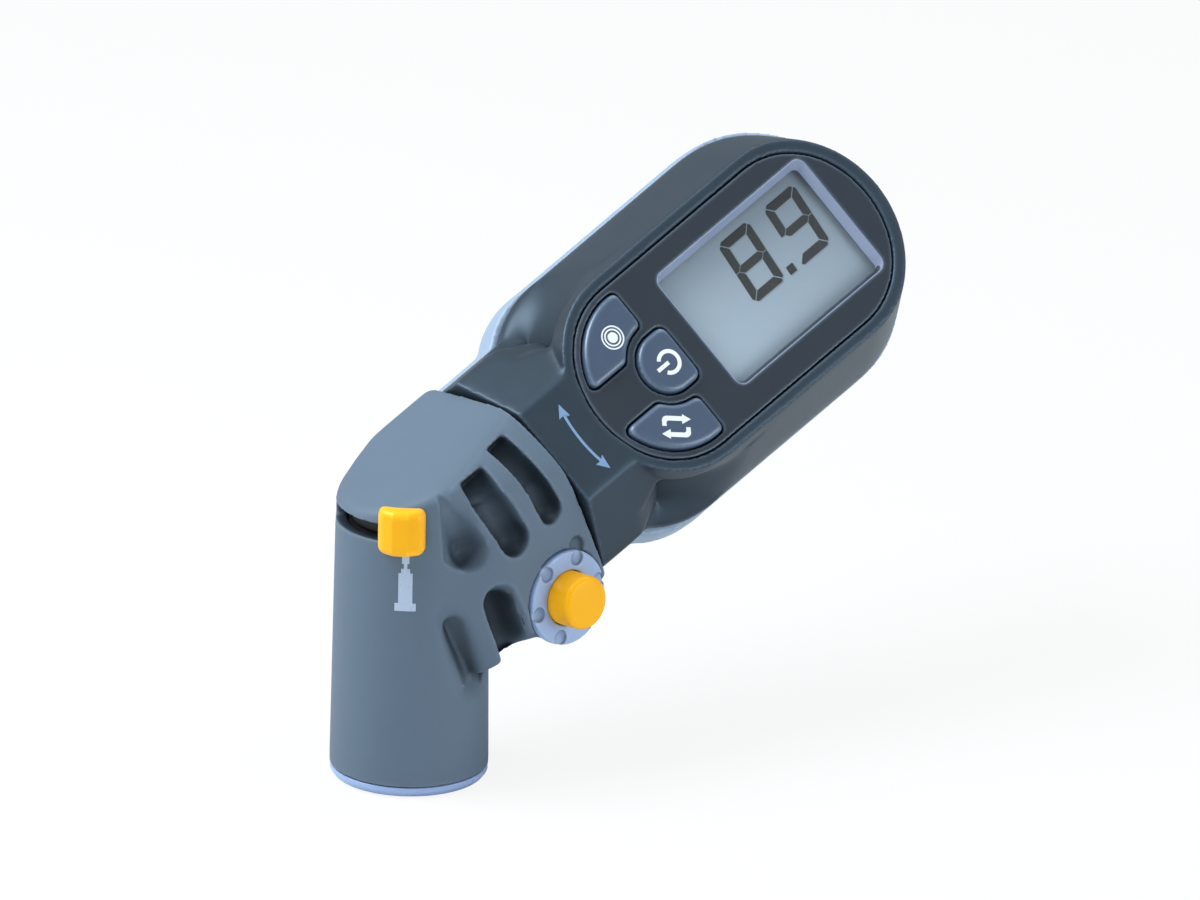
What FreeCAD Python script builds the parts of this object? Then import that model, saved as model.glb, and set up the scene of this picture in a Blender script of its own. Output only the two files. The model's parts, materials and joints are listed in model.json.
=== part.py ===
import FreeCAD, Part
import math
import os

# Digital tire pressure gauge with a swivelling valve head. Lengths are in millimetres, angles in degrees.
# The chuck axis is Z and the valve goes in from below, at z = 0. The swivel axis climbs from the chuck axis
# towards +X, and the bleed button looks to -Y. The gauge is modelled at the turn that the photograph shows.

Vector = FreeCAD.Vector

# Swivel geometry
elbow_angle = 68.0
elbow_height = 31.0
turn_angle = 38.0
swivel_gap = 0.5

# Chuck, the round lower part of the valve head
valve_bore_radius = 4.0
valve_bore_depth = 8.0
chuck_mouth_radius = 11.75
chuck_draft = 0.65
chuck_bore_radius = 9.4
chuck_ring_height = 1.6
chuck_ring_inset = 0.15
chuck_ring_lip = 2.4
chuck_ring_skirt = 3.1
chuck_ring_rounding = 0.6

# Head block, the faceted part that carries the swivel
rim_distance = 22.5
block_back = 22.0
side_facet_angle = 4.0
side_facet_distance = 14.6
top_facet_angle = 96.0
top_facet_distance = 15.7
corner_angle = 48.0
corner_distance = 15.3
corner_slope = 13.0
flank_distance = 19.0
lower_facet_distance = 14.6
lower_corner_distance = 13.6
under_facet_distance = 14.9
block_rounding = 2.2
shoulder_run = 10.0
shoulder_flare = 1.4
brow_rounding = 1.9

# Grip flutes on the head: two that bend over the corner, one on the side facet and two on the shoulder. The
# heights on the shoulder are measured from the elbow.
corner_flutes = 2
flute_radius = 2.05
flute_radius_step = 0.5
flute_low_along = 17.3
flute_fold_along = 16.9
flute_high_along = 16.5
flute_pitch = 7.6
flute_fold_pitch = 8.3
flute_low_width = -7.5
flute_low_depth = 1.2
flute_fold_depth = 1.5
flute_high_width = 4.9
flute_high_step = -1.7
flute_high_depth = 0.6
side_flute_radius = 2.6
side_flute_along = 3.6
side_flute_width = -13.6
side_flute_depth = 1.2
side_flute_run = 9.8
side_flute_dive = 11.0
brow_flute_radius = 3.1
brow_flute_from = 4.9
brow_flute_to = 2.1
brow_flute_low = 6.2
brow_flute_high = 14.6
brow_flute_rise = 1.4
shoulder_flute_radius = 1.7
shoulder_flute_from = 2.5
shoulder_flute_to = 6.8
shoulder_flute_high = -4.8
shoulder_flute_low = -15.8
shoulder_flute_rise = 0.5

# Lever slot, cam and clamp
slot_rise = 8.9
slot_height = 2.4
slot_lead_angle = 11.5
slot_trail_angle = 13.5
lever_angle = 218.5
lever_travel = 75.0
lever_stem_width = 2.4
lever_knob_width = 7.0
lever_knob_height = 7.2
lever_knob_depth = 2.4
lever_knob_lift = 0.9
lever_knob_rounding = 0.9
lever_face_half = 1.05
lever_face_proud = 0.5
cam_outer_radius = 8.9
cam_inner_radius = 6.0
cam_hub_clearance = 0.06
clamp_travel = 1.2
sleeve_wall = 1.3
sleeve_window_half = 5.4
sleeve_window_drop = 7.0
part_gap = 0.3
running_clearance = 0.06
seat_clearance = 0.03

# Manifold and depressor
manifold_radius = 7.5
manifold_floor = 12.0
manifold_barrel_radius = 4.8
manifold_hub_step = 3.1
air_way_radius = 0.8
depressor_radius = 1.2
depressor_flange_radius = 2.4
depressor_flange = 0.8

# Swivel spindle, bush, clip and washer
spindle_radius = 3.2
spindle_tip = 5.4
spindle_flange_radius = 7.4
spindle_flange = 2.4
spindle_bore_radius = 0.9
bush_wall = 1.9
bush_start = 11.2
clip_width = 0.8
clip_radius = 4.9
clip_groove_depth = 0.6
ring_groove_depth = 0.9
ring_groove_width = 1.3
ring_groove_pitch = 2.2
washer_radius = 11.5
washer_thickness = 0.4

# Bleed valve at the inner corner of the elbow
bleed_along = 14.4
bleed_below = 10.95
collar_radius = 7.15
collar_thickness = 1.3
collar_proud = 0.5
collar_dimples = 6
collar_dimple_radius = 1.15
collar_dimple_depth = 0.55
collar_dimple_circle = 6.05
collar_dimple_phase = 50.0
notch_radius = 1.35
notch_angle = 50.0
boss_radius = 6.9
boss_depth = 14.5
collar_skirt_radius = 5.6
collar_skirt = 4.7
bleed_button_radius = 4.05
bleed_button_proud = 4.2
bleed_button_rounding = 0.8
bleed_travel = 1.6
bleed_flange_radius = 4.9
bleed_flange = 1.0
bleed_stem_radius = 1.1
bleed_seat_thickness = 1.0
bleed_seal_radius = 2.6
bleed_seal_thickness = 0.8
bleed_spring_radius = 2.1
bleed_spring_wire = 0.25
bleed_spring_turns = 2.5

# Gauge body outline, measured along the swivel axis from the elbow
neck_length = 10.1
panel_half_width = 14.5
panel_tip_excess = 1.5
panel_corner_inset = 1.0
panel_chin = 4.9
bezel_lip = 1.8
face_height = 14.0
back_height = 14.5
parting_drop = 3.0
flank_lead = 0.1
flank_chin = 6.6
flank_half_width = 20.8
flank_tip_excess = 0.7
flank_corner_inset = 1.8
neck_flat_half = 8.2
neck_step = 3.4
neck_overlap = 3.4
scoop_floor = 0.5
scoop_length = 14.9
rear_overhang = 0.25
rear_chin = 2.4
rear_flare_lead = 2.3
rear_flare_length = 11.1
flare_bulge_along = 0.3
flare_bulge_out = 0.62
rear_wall_height = 5.5
rear_inset = 6.5
shell_wall = 1.8

# Panel, window and display
panel_thickness = 1.4
panel_below_face = 0.2
panel_gap = 0.2
panel_ledge = 0.6
window_gap = 3.8
window_length = 31.9
window_half_width = 10.4
window_offset = 0.37
window_bevel = 0.7
window_corner = 1.6
window_margin = 0.7
lens_thickness = 0.9
glass_thickness = 1.8
display_stack_gap = 0.15
frame_wall = 0.6
board_thickness = 1.0
board_drop = 5.0
board_inset = 3.2
zebra_width = 1.6
zebra_inset = 3.0

# Keys
key_clearance = 0.25
key_proud = 0.8
key_travel = 0.8
key_flange = 0.6
key_flange_thickness = 0.7
key_rounding = 0.5
power_key_start = 9.9
power_key_length = 8.0
power_key_half_width = 4.75
power_key_corner = 1.3
side_key_inner = 6.5
side_key_inset = 1.5
side_key_setback = 2.7
side_key_near_half = 3.7
side_key_corner = 1.0
mat_pocket = 0.3
dome_radius = 2.6
dome_height = 0.35
dome_offset = 7.6

# Battery and its cover
battery_along = 31.0
battery_radius = 10.0
battery_height = 3.2
battery_cover_margin = 2.4
battery_cover_thickness = 1.8
battery_cover_turn = 45.0
battery_slot_length = 11.0
battery_slot_width = 1.6
battery_slot_depth = 0.9
battery_lug_reach = 1.1
battery_lug_width = 4.0
battery_lugs = 3
battery_seal_wire = 0.5
contact_thickness = 0.3
contact_width = 3.0

# Sensor and screws
sensor_board_gap = 1.4
sensor_length = 7.5
sensor_tube_radius = 1.6
sensor_tube_length = 4.0
sensor_leads = 3
sensor_lead_radius = 0.3
sensor_lead_pitch = 1.6
screw_near_along = 6.6
screw_near_inset = 5.2
screw_far_setback = 8.2
screw_far_half = 8.2
screw_radius = 1.1
screw_head_radius = 2.0
screw_head_height = 1.4
screw_recess = 6.0
screw_reach = 5.5
screw_boss_radius = 2.5
driver_reach = 1.2
driver_width = 0.6

# Lengths by which a cut or a hidden foot runs past the face that it starts from
cut_overlap = 1.0
skirt_overlap = 0.5
big = 80.0


def direction(angle):
    return Vector(math.cos(math.radians(angle)), math.sin(math.radians(angle)), 0)


def frame_at(origin, x_axis, y_axis, z_axis):
    matrix = FreeCAD.Matrix(
        x_axis.x, y_axis.x, z_axis.x, origin.x,
        x_axis.y, y_axis.y, z_axis.y, origin.y,
        x_axis.z, y_axis.z, z_axis.z, origin.z,
        0, 0, 0, 1)
    return FreeCAD.Placement(matrix)


def placed(shape, frame):
    moved = shape.copy()
    moved.Placement = frame.multiply(moved.Placement)
    return moved


def disc(radius, low, high, x=0.0, y=0.0):
    return Part.makeCylinder(radius, high - low, Vector(x, y, low))


def rod(radius, start, end, y=0.0, z=0.0):
    return Part.makeCylinder(radius, end - start, Vector(start, y, z), Vector(1, 0, 0))


def block(x_low, x_high, y_low, y_high, z_low, z_high):
    return Part.makeBox(x_high - x_low, y_high - y_low, z_high - z_low, Vector(x_low, y_low, z_low))


def polygon_prism(points, along):
    wire = Part.makePolygon(points + [points[0]])
    return Part.Face(wire).extrude(along)


def fuse_all(shapes):
    result = shapes[0].multiFuse(shapes[1:]) if len(shapes) > 1 else shapes[0]
    return result.removeSplitter()


def round_edges(shape, radius, wanted):
    edges = [edge for edge in shape.Edges if wanted(edge)]
    return shape.makeFillet(radius, edges) if edges else shape


# Frames: the swivel frame has x along the swivel axis and keeps y. The gauge frame is turned about x, and has
# y across the display and z out of it. The bleed frame has z out of the bleed button.
swivel_x = Vector(math.sin(math.radians(elbow_angle)), 0, math.cos(math.radians(elbow_angle)))
swivel_y = Vector(0, 1, 0)
swivel_z = swivel_x.cross(swivel_y)
elbow = Vector(0, 0, elbow_height)
swivel_frame = frame_at(elbow, swivel_x, swivel_y, swivel_z)

turn_cos = math.cos(math.radians(turn_angle))
turn_sin = math.sin(math.radians(turn_angle))
gauge_y = swivel_y * turn_sin + swivel_z * turn_cos
gauge_z = swivel_y * -turn_cos + swivel_z * turn_sin
gauge_frame = frame_at(elbow, swivel_x, gauge_y, gauge_z)


def facet_normal(angle):
    return Vector(0, -math.cos(math.radians(angle)), math.sin(math.radians(angle)))


def facet_corner(first_angle, first_distance, second_angle, second_distance):
    first = facet_normal(first_angle)
    second = facet_normal(second_angle)
    scale = first.y * second.z - first.z * second.y
    y = (first_distance * second.z - second_distance * first.z) / scale
    z = (first.y * second_distance - second.y * first_distance) / scale
    return Vector(0, y, z)


bleed_z = facet_normal(side_facet_angle)
bleed_y = bleed_z.cross(Vector(1, 0, 0))
bleed_point = Vector(bleed_along, 0, 0) + bleed_z * side_facet_distance - bleed_y * bleed_below
bleed_frame = swivel_frame.multiply(frame_at(bleed_point, Vector(1, 0, 0), bleed_y, bleed_z))


# Heights and places that follow from the driving sizes
slot_floor = elbow_height + slot_rise
slot_ceiling = slot_floor + slot_height
manifold_top = slot_floor - manifold_hub_step
slot_from_angle = lever_angle - lever_travel - slot_lead_angle
slot_to_angle = lever_angle + slot_trail_angle
chuck_slope = math.tan(math.radians(chuck_draft))
chuck_top_radius = chuck_mouth_radius - slot_floor * chuck_slope
shoulder_spread = side_facet_distance + shoulder_flare
sleeve_outer = chuck_bore_radius - part_gap / 2
sleeve_inner = sleeve_outer - sleeve_wall
sleeve_floor = valve_bore_depth + part_gap + clamp_travel
cam_floor = slot_floor + part_gap
cam_ceiling = slot_ceiling - part_gap
sleeve_top = cam_floor - part_gap
cam_hub_radius = cam_inner_radius - cam_hub_clearance
depressor_tip = valve_bore_depth + part_gap
neck_start = rim_distance + swivel_gap
panel_near = neck_start + neck_length
power_key_near = panel_near + power_key_start
power_key_far = power_key_near + power_key_length
side_key_far = power_key_far - side_key_setback
window_near = power_key_far + window_gap
window_far = window_near + window_length
panel_far = window_far + panel_chin
panel_tip_radius = panel_half_width + panel_tip_excess
panel_corner_radius = panel_half_width - panel_corner_inset
flank_near = panel_near - flank_lead
flank_far = panel_far + flank_chin
flank_tip_radius = flank_half_width + flank_tip_excess
flank_corner_radius = flank_half_width - flank_corner_inset
neck_half_width = flank_half_width - neck_step
neck_end = panel_near + neck_overlap
scoop_end = panel_near + scoop_length
rear_far = flank_far + rear_chin
rear_flare_start = panel_near + rear_flare_lead
rear_flare_end = rear_flare_start + rear_flare_length
parting_height = -parting_drop
battery_centre = flank_near + battery_along
battery_cover_radius = battery_radius + battery_cover_margin
screw_near = neck_start + screw_near_along
screw_near_half = neck_half_width - screw_near_inset
screw_far = flank_far - screw_far_setback
bush_end = rim_distance - part_gap
bush_radius = spindle_radius + running_clearance + bush_wall
clip_start = bush_start - part_gap - clip_width
manifold_barrel_end = clip_start - part_gap
clip_pocket_radius = clip_radius + part_gap

panel_top = face_height - panel_below_face
panel_floor = panel_top - panel_thickness
lens_top = panel_floor - display_stack_gap / 3
lens_floor = lens_top - lens_thickness
glass_top = lens_floor - display_stack_gap
glass_floor = glass_top - glass_thickness
board_top = panel_floor - board_drop
board_floor = board_top - board_thickness
inner_ceiling = panel_floor - shell_wall
sensor_radius = board_floor - sensor_board_gap
flange_top = panel_floor - key_clearance
flange_floor = flange_top - key_flange_thickness
mat_top = flange_floor - key_travel - part_gap
opening_floor = inner_ceiling - cut_overlap
back_plane = -back_height
cover_top = back_plane + battery_cover_thickness
battery_floor = cover_top + part_gap
battery_top = battery_floor + battery_height


def end_points(tip, half_width, tip_radius, corner_radius, side):
    offset = half_width - corner_radius
    reach = math.sqrt((tip_radius - corner_radius) ** 2 - offset ** 2)
    tip_centre = tip - side * tip_radius
    corner_x = tip_centre + side * reach
    tangent = math.atan2(offset, reach)
    touch = (tip_centre + side * tip_radius * math.cos(tangent), tip_radius * math.sin(tangent))
    middle = math.radians(45) + tangent / 2
    bulge = (corner_x + side * corner_radius * math.cos(middle), offset + corner_radius * math.sin(middle))
    return corner_x, touch, bulge


def oval_wire(near, far, half_width, tip_radius, corner_radius, z):
    near_x, near_touch, near_bulge = end_points(near, half_width, tip_radius, corner_radius, -1)
    far_x, far_touch, far_bulge = end_points(far, half_width, tip_radius, corner_radius, 1)

    def at(point, flip=1):
        return Vector(point[0], flip * point[1], z)
    edges = [
        Part.LineSegment(at((near_x, half_width)), at((far_x, half_width))),
        Part.Arc(at((far_x, half_width)), at(far_bulge), at(far_touch)),
        Part.Arc(at(far_touch), at((far, 0)), at(far_touch, -1)),
        Part.Arc(at(far_touch, -1), at(far_bulge, -1), at((far_x, half_width), -1)),
        Part.LineSegment(at((far_x, half_width), -1), at((near_x, half_width), -1)),
        Part.Arc(at((near_x, half_width), -1), at(near_bulge, -1), at(near_touch, -1)),
        Part.Arc(at(near_touch, -1), at((near, 0)), at(near_touch)),
        Part.Arc(at(near_touch), at(near_bulge), at((near_x, half_width)))]
    return Part.Wire([edge.toShape() for edge in edges])


def panel_oval(offset, z):
    return oval_wire(panel_near - offset, panel_far + offset, panel_half_width + offset,
                     panel_tip_radius + offset, panel_corner_radius + offset, z)


def flank_oval(offset, z):
    return oval_wire(flank_near - offset, flank_far + offset, flank_half_width + offset,
                     flank_tip_radius + offset, flank_corner_radius + offset, z)


def oval_slab(offset, low, high):
    return Part.Face(panel_oval(offset, low)).extrude(Vector(0, 0, high - low))


def body_outline(half_width, neck_half, flare_start, flare_end, tip, tip_radius, corner_radius, start, z):
    # The flank's outline with a straight neck that flares out to it in an arc.
    far_x, touch, bulge = end_points(tip, half_width, tip_radius, corner_radius, 1)
    flare = (flare_start + flare_bulge_along * (flare_end - flare_start),
             neck_half + flare_bulge_out * (half_width - neck_half))

    def upper(x, y):
        return Vector(x, y, z)

    def lower(x, y):
        return Vector(x, -y, z)
    edges = [Part.LineSegment(upper(start, neck_half), upper(flare_start, neck_half)),
             Part.Arc(upper(flare_start, neck_half), upper(*flare), upper(flare_end, half_width)),
             Part.LineSegment(upper(flare_end, half_width), upper(far_x, half_width)),
             Part.Arc(upper(far_x, half_width), upper(*bulge), upper(*touch)),
             Part.Arc(upper(*touch), upper(tip, 0), lower(*touch)),
             Part.Arc(lower(*touch), lower(*bulge), lower(far_x, half_width)),
             Part.LineSegment(lower(far_x, half_width), lower(flare_end, half_width)),
             Part.Arc(lower(flare_end, half_width), lower(*flare), lower(flare_start, neck_half)),
             Part.LineSegment(lower(flare_start, neck_half), lower(start, neck_half)),
             Part.LineSegment(lower(start, neck_half), upper(start, neck_half))]
    return Part.Wire([edge.toShape() for edge in edges])


def rear_outline(inset, z, start=None):
    return body_outline(flank_half_width + rear_overhang - inset, neck_half_width + rear_overhang - inset,
                        rear_flare_start, rear_flare_end, rear_far - inset,
                        flank_tip_radius - inset, flank_corner_radius - inset,
                        neck_start if start is None else start, z)


def neck_prism(inset, start, end, low):
    half = neck_half_width - inset
    flat = neck_flat_half - inset * math.tan(math.radians(22.5))
    top = face_height - inset
    shoulder = top - (half - flat)
    points = [Vector(start, -half, low), Vector(start, -half, shoulder), Vector(start, -flat, top),
              Vector(start, flat, top), Vector(start, half, shoulder), Vector(start, half, low)]
    return polygon_prism(points, Vector(end - start, 0, 0))


# Valve head: outer form
def head_block():
    facets = [(corner_angle - 90, flank_distance), (side_facet_angle, side_facet_distance),
              (top_facet_angle, top_facet_distance), (corner_angle + 90, flank_distance),
              (side_facet_angle + 180, lower_facet_distance), (corner_angle + 180, lower_corner_distance),
              (top_facet_angle + 180, under_facet_distance)]
    points = []
    for first, second in zip(facets, facets[1:] + facets[:1]):
        corner = facet_corner(first[0], first[1], second[0], second[1])
        points.append(Vector(-block_back, corner.y, corner.z))
    prism = polygon_prism(points, Vector(block_back + rim_distance, 0, 0))
    prism = round_edges(prism, block_rounding, lambda edge: edge.BoundBox.XLength > rim_distance)
    slope_cos = math.cos(math.radians(corner_slope))
    slope_sin = math.sin(math.radians(corner_slope))
    outward = facet_normal(corner_angle) * slope_cos + Vector(1, 0, 0) * slope_sin
    across = facet_normal(corner_angle + 90)
    along = across.cross(outward)
    rim_point = Vector(rim_distance, 0, 0) + facet_normal(corner_angle) * corner_distance
    chamfer = placed(block(-big, big, -big, big, 0, big), frame_at(rim_point, along, across, outward))
    return prism.cut(chamfer)


def shoulder_touch():
    reach = math.hypot(shoulder_run, shoulder_spread)
    heading = math.atan2(shoulder_spread, shoulder_run)
    half = math.acos(chuck_top_radius / reach)
    return direction(math.degrees(heading + half)) * chuck_top_radius


def shoulder_outline():
    # Plan of the head: a half circle over the chuck, with tangents that spread towards the swivel.
    touch = shoulder_touch()
    corner = Vector(shoulder_run, shoulder_spread, 0)
    far = corner + (corner - touch) * big / shoulder_run

    def flipped(point):
        return Vector(point.x, -point.y, 0)
    edges = [Part.LineSegment(far, touch), Part.Arc(touch, Vector(-chuck_top_radius, 0, 0), flipped(touch)),
             Part.LineSegment(flipped(touch), flipped(far)), Part.LineSegment(flipped(far), far)]
    wire = Part.Wire([edge.toShape() for edge in edges])
    return Part.Face(wire).extrude(Vector(0, 0, 2 * big))


def shoulder_post():
    # The plan cut off by the top facet's plane, with the brow rounded.
    normal = facet_normal(top_facet_angle)
    lid_frame = swivel_frame.multiply(frame_at(normal * top_facet_distance, Vector(1, 0, 0),
                                               normal.cross(Vector(1, 0, 0)), normal))
    lid = placed(block(-2 * big, 2 * big, -2 * big, 2 * big, 0, 3 * big), lid_frame)
    post = shoulder_outline().cut(lid)
    lid_normal = lid_frame.Rotation.multVec(Vector(0, 0, 1))

    def on_brow(edge):
        middle = edge.valueAt((edge.FirstParameter + edge.LastParameter) / 2)
        return abs((middle - lid_frame.Base).dot(lid_normal)) < 1e-6 and middle.x < big - 1
    return round_edges(post, brow_rounding, on_brow)


def flute_cutter(radius, start, end, outward):
    # A slot with a round floor along start-end and a ball end at the start, open along outward.
    along = end - start
    length = along.Length
    x_axis = along.normalize()
    z_axis = (outward - x_axis * outward.dot(x_axis)).normalize()
    y_axis = z_axis.cross(x_axis)
    height = big / 4
    slot = fuse_all([block(0, length, -radius, radius, 0, height), rod(radius, 0, length),
                     disc(radius, 0, height), Part.makeSphere(radius)])
    return placed(slot, frame_at(start, x_axis, y_axis, z_axis))


def in_section(along, width, out):
    return Vector(along, 0, 0) + facet_normal(corner_angle + 90) * width + facet_normal(corner_angle) * out


def side_facet_out(width):
    # Height over the swivel axis, along the corner facet's normal, at which the side facet lies.
    tilt = math.radians(corner_angle - side_facet_angle)
    return (side_facet_distance + width * math.sin(tilt)) / math.cos(tilt)


def corner_facet_out(along):
    return corner_distance + math.tan(math.radians(corner_slope)) * (rim_distance - along)


def fold_width(along):
    # Width at which the corner facet meets the side facet.
    tilt = math.radians(corner_angle - side_facet_angle)
    return (corner_facet_out(along) * math.cos(tilt) - side_facet_distance) / math.sin(tilt)


def corner_flute(index):
    # It climbs the side facet from a ball end, bends at the fold, and stops short on the corner facet.
    radius = flute_radius + index * flute_radius_step
    low_along = flute_low_along - index * flute_pitch
    fold_along = flute_fold_along - index * flute_fold_pitch
    high_along = flute_high_along - index * flute_pitch
    low = in_section(low_along, flute_low_width, side_facet_out(flute_low_width) - flute_low_depth)
    fold = in_section(fold_along, fold_width(fold_along), corner_facet_out(fold_along) - flute_fold_depth)
    high = in_section(high_along, flute_high_width + index * flute_high_step,
                      corner_facet_out(high_along) - flute_high_depth)
    outward = facet_normal(corner_angle)
    lower = flute_cutter(radius, low, fold, outward)
    upper = flute_cutter(radius, fold, high, outward)
    return placed(fuse_all([lower, upper]), swivel_frame)


def side_flute():
    start_out = side_facet_out(side_flute_width) - side_flute_depth
    start = in_section(side_flute_along, side_flute_width, start_out)
    end = in_section(side_flute_along, side_flute_width - side_flute_run, start_out - side_flute_dive)
    cutter = flute_cutter(side_flute_radius, start, end, facet_normal(side_facet_angle))
    return placed(cutter, swivel_frame)


def on_shoulder(along, height, out):
    touch = shoulder_touch()
    begin = Vector(touch.x, -touch.y, 0)
    run = (Vector(shoulder_run, -shoulder_spread, 0) - begin).normalize()
    return begin + run * along + Vector(0, 0, elbow_height + height) + run.cross(Vector(0, 0, 1)) * out


def shoulder_flutes():
    outward = on_shoulder(0, 0, 1) - on_shoulder(0, 0, 0)
    upper = flute_cutter(brow_flute_radius,
                         on_shoulder(brow_flute_from, brow_flute_low, brow_flute_rise),
                         on_shoulder(brow_flute_to, brow_flute_high, brow_flute_radius), outward)
    lower = flute_cutter(shoulder_flute_radius,
                         on_shoulder(shoulder_flute_from, shoulder_flute_high, shoulder_flute_rise),
                         on_shoulder(shoulder_flute_to, shoulder_flute_low, shoulder_flute_rise), outward)
    return [upper, lower]


def bleed_boss():
    return placed(disc(boss_radius, -boss_depth, collar_proud - collar_thickness), bleed_frame)


def collar_recess():
    floor = collar_proud - collar_thickness
    spot = direction(notch_angle) * (collar_radius + notch_radius / 2)
    seat = disc(collar_radius + part_gap / 2, floor, big / 8)
    notch = disc(notch_radius, floor, big / 8, spot.x, spot.y)
    return placed(fuse_all([seat, notch]), bleed_frame)


def slot_sector(inner, outer, low, high, start, end):
    ring = disc(outer, low, high).cut(disc(inner, low, high))
    wedge = Part.makeCylinder(big, high - low, Vector(0, 0, low), Vector(0, 0, 1), end - start)
    wedge.rotate(Vector(0, 0, 0), Vector(0, 0, 1), start)
    return ring.common(wedge)


def head_shell():
    barrel = Part.makeCone(chuck_mouth_radius - chuck_ring_height * chuck_slope, chuck_top_radius,
                           slot_floor - chuck_ring_height, Vector(0, 0, chuck_ring_height))
    cap = placed(head_block(), swivel_frame).common(shoulder_post())
    shell = fuse_all([barrel, cap, bleed_boss()])
    flutes = [corner_flute(index) for index in range(corner_flutes)]
    for cutter in flutes + [side_flute()] + shoulder_flutes():
        shell = shell.cut(cutter)
    cavity = disc(chuck_bore_radius, 0, slot_ceiling)
    slot = slot_sector(chuck_bore_radius / 2, big, slot_floor, slot_ceiling, slot_from_angle, slot_to_angle)
    swivel_bores = [rod(bush_radius, bush_start, rim_distance + cut_overlap),
                    rod(clip_pocket_radius, 0, bush_start)]
    chamber_floor = -(boss_depth - shell_wall)
    chamber = placed(disc(collar_skirt_radius + seat_clearance, chamber_floor, 0), bleed_frame)
    port_start = bleed_frame.multVec(Vector(0, 0, chamber_floor + shell_wall))
    port_end = swivel_frame.multVec(Vector((clip_start + manifold_barrel_end) / 2, 0, 0))
    port_run = port_end - port_start
    port = Part.makeCylinder(air_way_radius, port_run.Length, port_start, port_run)
    shell = shell.cut(cavity)
    shell = shell.cut(slot)
    shell = shell.cut(placed(fuse_all(swivel_bores), swivel_frame))
    shell = shell.cut(collar_recess())
    shell = shell.cut(fuse_all([chamber, port]))
    return shell


# Valve head: pieces inside the chuck
def chuck_ring():
    radius = chuck_mouth_radius - chuck_ring_inset
    plate = disc(radius, 0, chuck_ring_height - part_gap / 3)
    plate = round_edges(plate, chuck_ring_rounding, lambda edge: edge.BoundBox.ZMax < 1e-6)
    skirt = disc(chuck_bore_radius - seat_clearance, skirt_overlap, chuck_ring_lip + chuck_ring_skirt)
    ring = fuse_all([plate, skirt])
    ring = ring.cut(disc(valve_bore_radius, -cut_overlap, big))
    return ring.cut(disc(seal_radius, chuck_ring_lip, big))


seal_radius = chuck_bore_radius - sleeve_wall


def chuck_seal():
    radius = seal_radius - seat_clearance
    lower = disc(radius, chuck_ring_lip, valve_bore_depth)
    return lower.cut(disc(valve_bore_radius, 0, big))


def clamp_sleeve():
    tube = disc(sleeve_outer, sleeve_floor, sleeve_top).cut(disc(sleeve_inner, sleeve_floor, sleeve_top))
    foot = disc(sleeve_outer, sleeve_floor, sleeve_floor + sleeve_wall)
    foot = foot.cut(disc(valve_bore_radius + part_gap, 0, big))
    window = block(0, big, -sleeve_window_half, sleeve_window_half,
                   elbow_height - sleeve_window_drop, big)
    return fuse_all([tube, foot]).cut(window)


def cam_ring():
    ring = disc(cam_outer_radius, cam_floor, cam_ceiling)
    return ring.cut(disc(cam_inner_radius, cam_floor, cam_ceiling))


def on_knob_rim(edge):
    # The corners of the knob and its upper and lower edges, but not the two creases of its face.
    box = edge.BoundBox
    crease = box.ZLength > lever_knob_rounding and abs(box.YMax) < lever_knob_width / 2 - 1e-6
    return box.XMax > chuck_top_radius + part_gap and not crease


def lock_lever():
    middle = (cam_floor + cam_ceiling) / 2
    stem = block(cam_outer_radius - cam_hub_clearance, chuck_top_radius + lever_knob_depth,
                 -lever_stem_width / 2, lever_stem_width / 2, cam_floor, cam_ceiling)
    stem = stem.cut(disc(cam_outer_radius, 0, big))
    knob_start = chuck_top_radius + part_gap
    half = lever_knob_width / 2
    low = middle + lever_knob_lift - lever_knob_height / 2
    back = knob_start - cut_overlap
    side = knob_start + lever_knob_depth - lever_face_proud
    face = knob_start + lever_knob_depth
    points = [Vector(back, -half, low), Vector(side, -half, low), Vector(face, -lever_face_half, low),
              Vector(face, lever_face_half, low), Vector(side, half, low), Vector(back, half, low)]
    knob = polygon_prism(points, Vector(0, 0, lever_knob_height))
    knob = round_edges(knob, lever_knob_rounding, on_knob_rim)
    knob = knob.cut(disc(knob_start, 0, big))
    lever = fuse_all([stem, knob])
    lever.rotate(Vector(0, 0, 0), Vector(0, 0, 1), lever_angle)
    return lever


def head_manifold():
    column = disc(manifold_radius, manifold_floor, manifold_top)
    hub = disc(cam_hub_radius, manifold_top, cam_ceiling)
    barrel = placed(rod(manifold_barrel_radius, 0, manifold_barrel_end), swivel_frame)
    body = fuse_all([column, hub, barrel])
    spindle_way = placed(rod(spindle_radius + running_clearance, spindle_tip - part_gap,
                             manifold_barrel_end + cut_overlap), swivel_frame)
    air_way = disc(air_way_radius, 0, elbow_height)
    cross_way = placed(rod(air_way_radius, 0, spindle_tip), swivel_frame)
    return body.cut(fuse_all([spindle_way, cross_way])).cut(air_way)


def depressor_pin():
    pin = disc(depressor_radius, depressor_tip, manifold_floor)
    flange = disc(depressor_flange_radius, manifold_floor - depressor_flange, manifold_floor)
    return fuse_all([pin, flange]).cut(disc(air_way_radius / 2, 0, big))


# Swivel
def spindle_groove(start, width, depth):
    core = rod(spindle_radius - depth, start, start + width)
    return rod(spindle_radius + cut_overlap, start, start + width).cut(core)


def ring_starts():
    first = spindle_tip + ring_groove_pitch / 2
    return [first + index * ring_groove_pitch for index in range(2)]


def swivel_spindle():
    journal = rod(spindle_radius, spindle_tip, neck_start + shell_wall)
    flange_start = neck_start + shell_wall
    flange = rod(spindle_flange_radius, flange_start, flange_start + spindle_flange)
    spindle = fuse_all([journal, flange])
    for start in ring_starts():
        spindle = spindle.cut(spindle_groove(start, ring_groove_width, ring_groove_depth))
    spindle = spindle.cut(spindle_groove(clip_start, clip_width, clip_groove_depth))
    return placed(spindle.cut(rod(spindle_bore_radius, 0, big)), gauge_frame)


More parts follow.
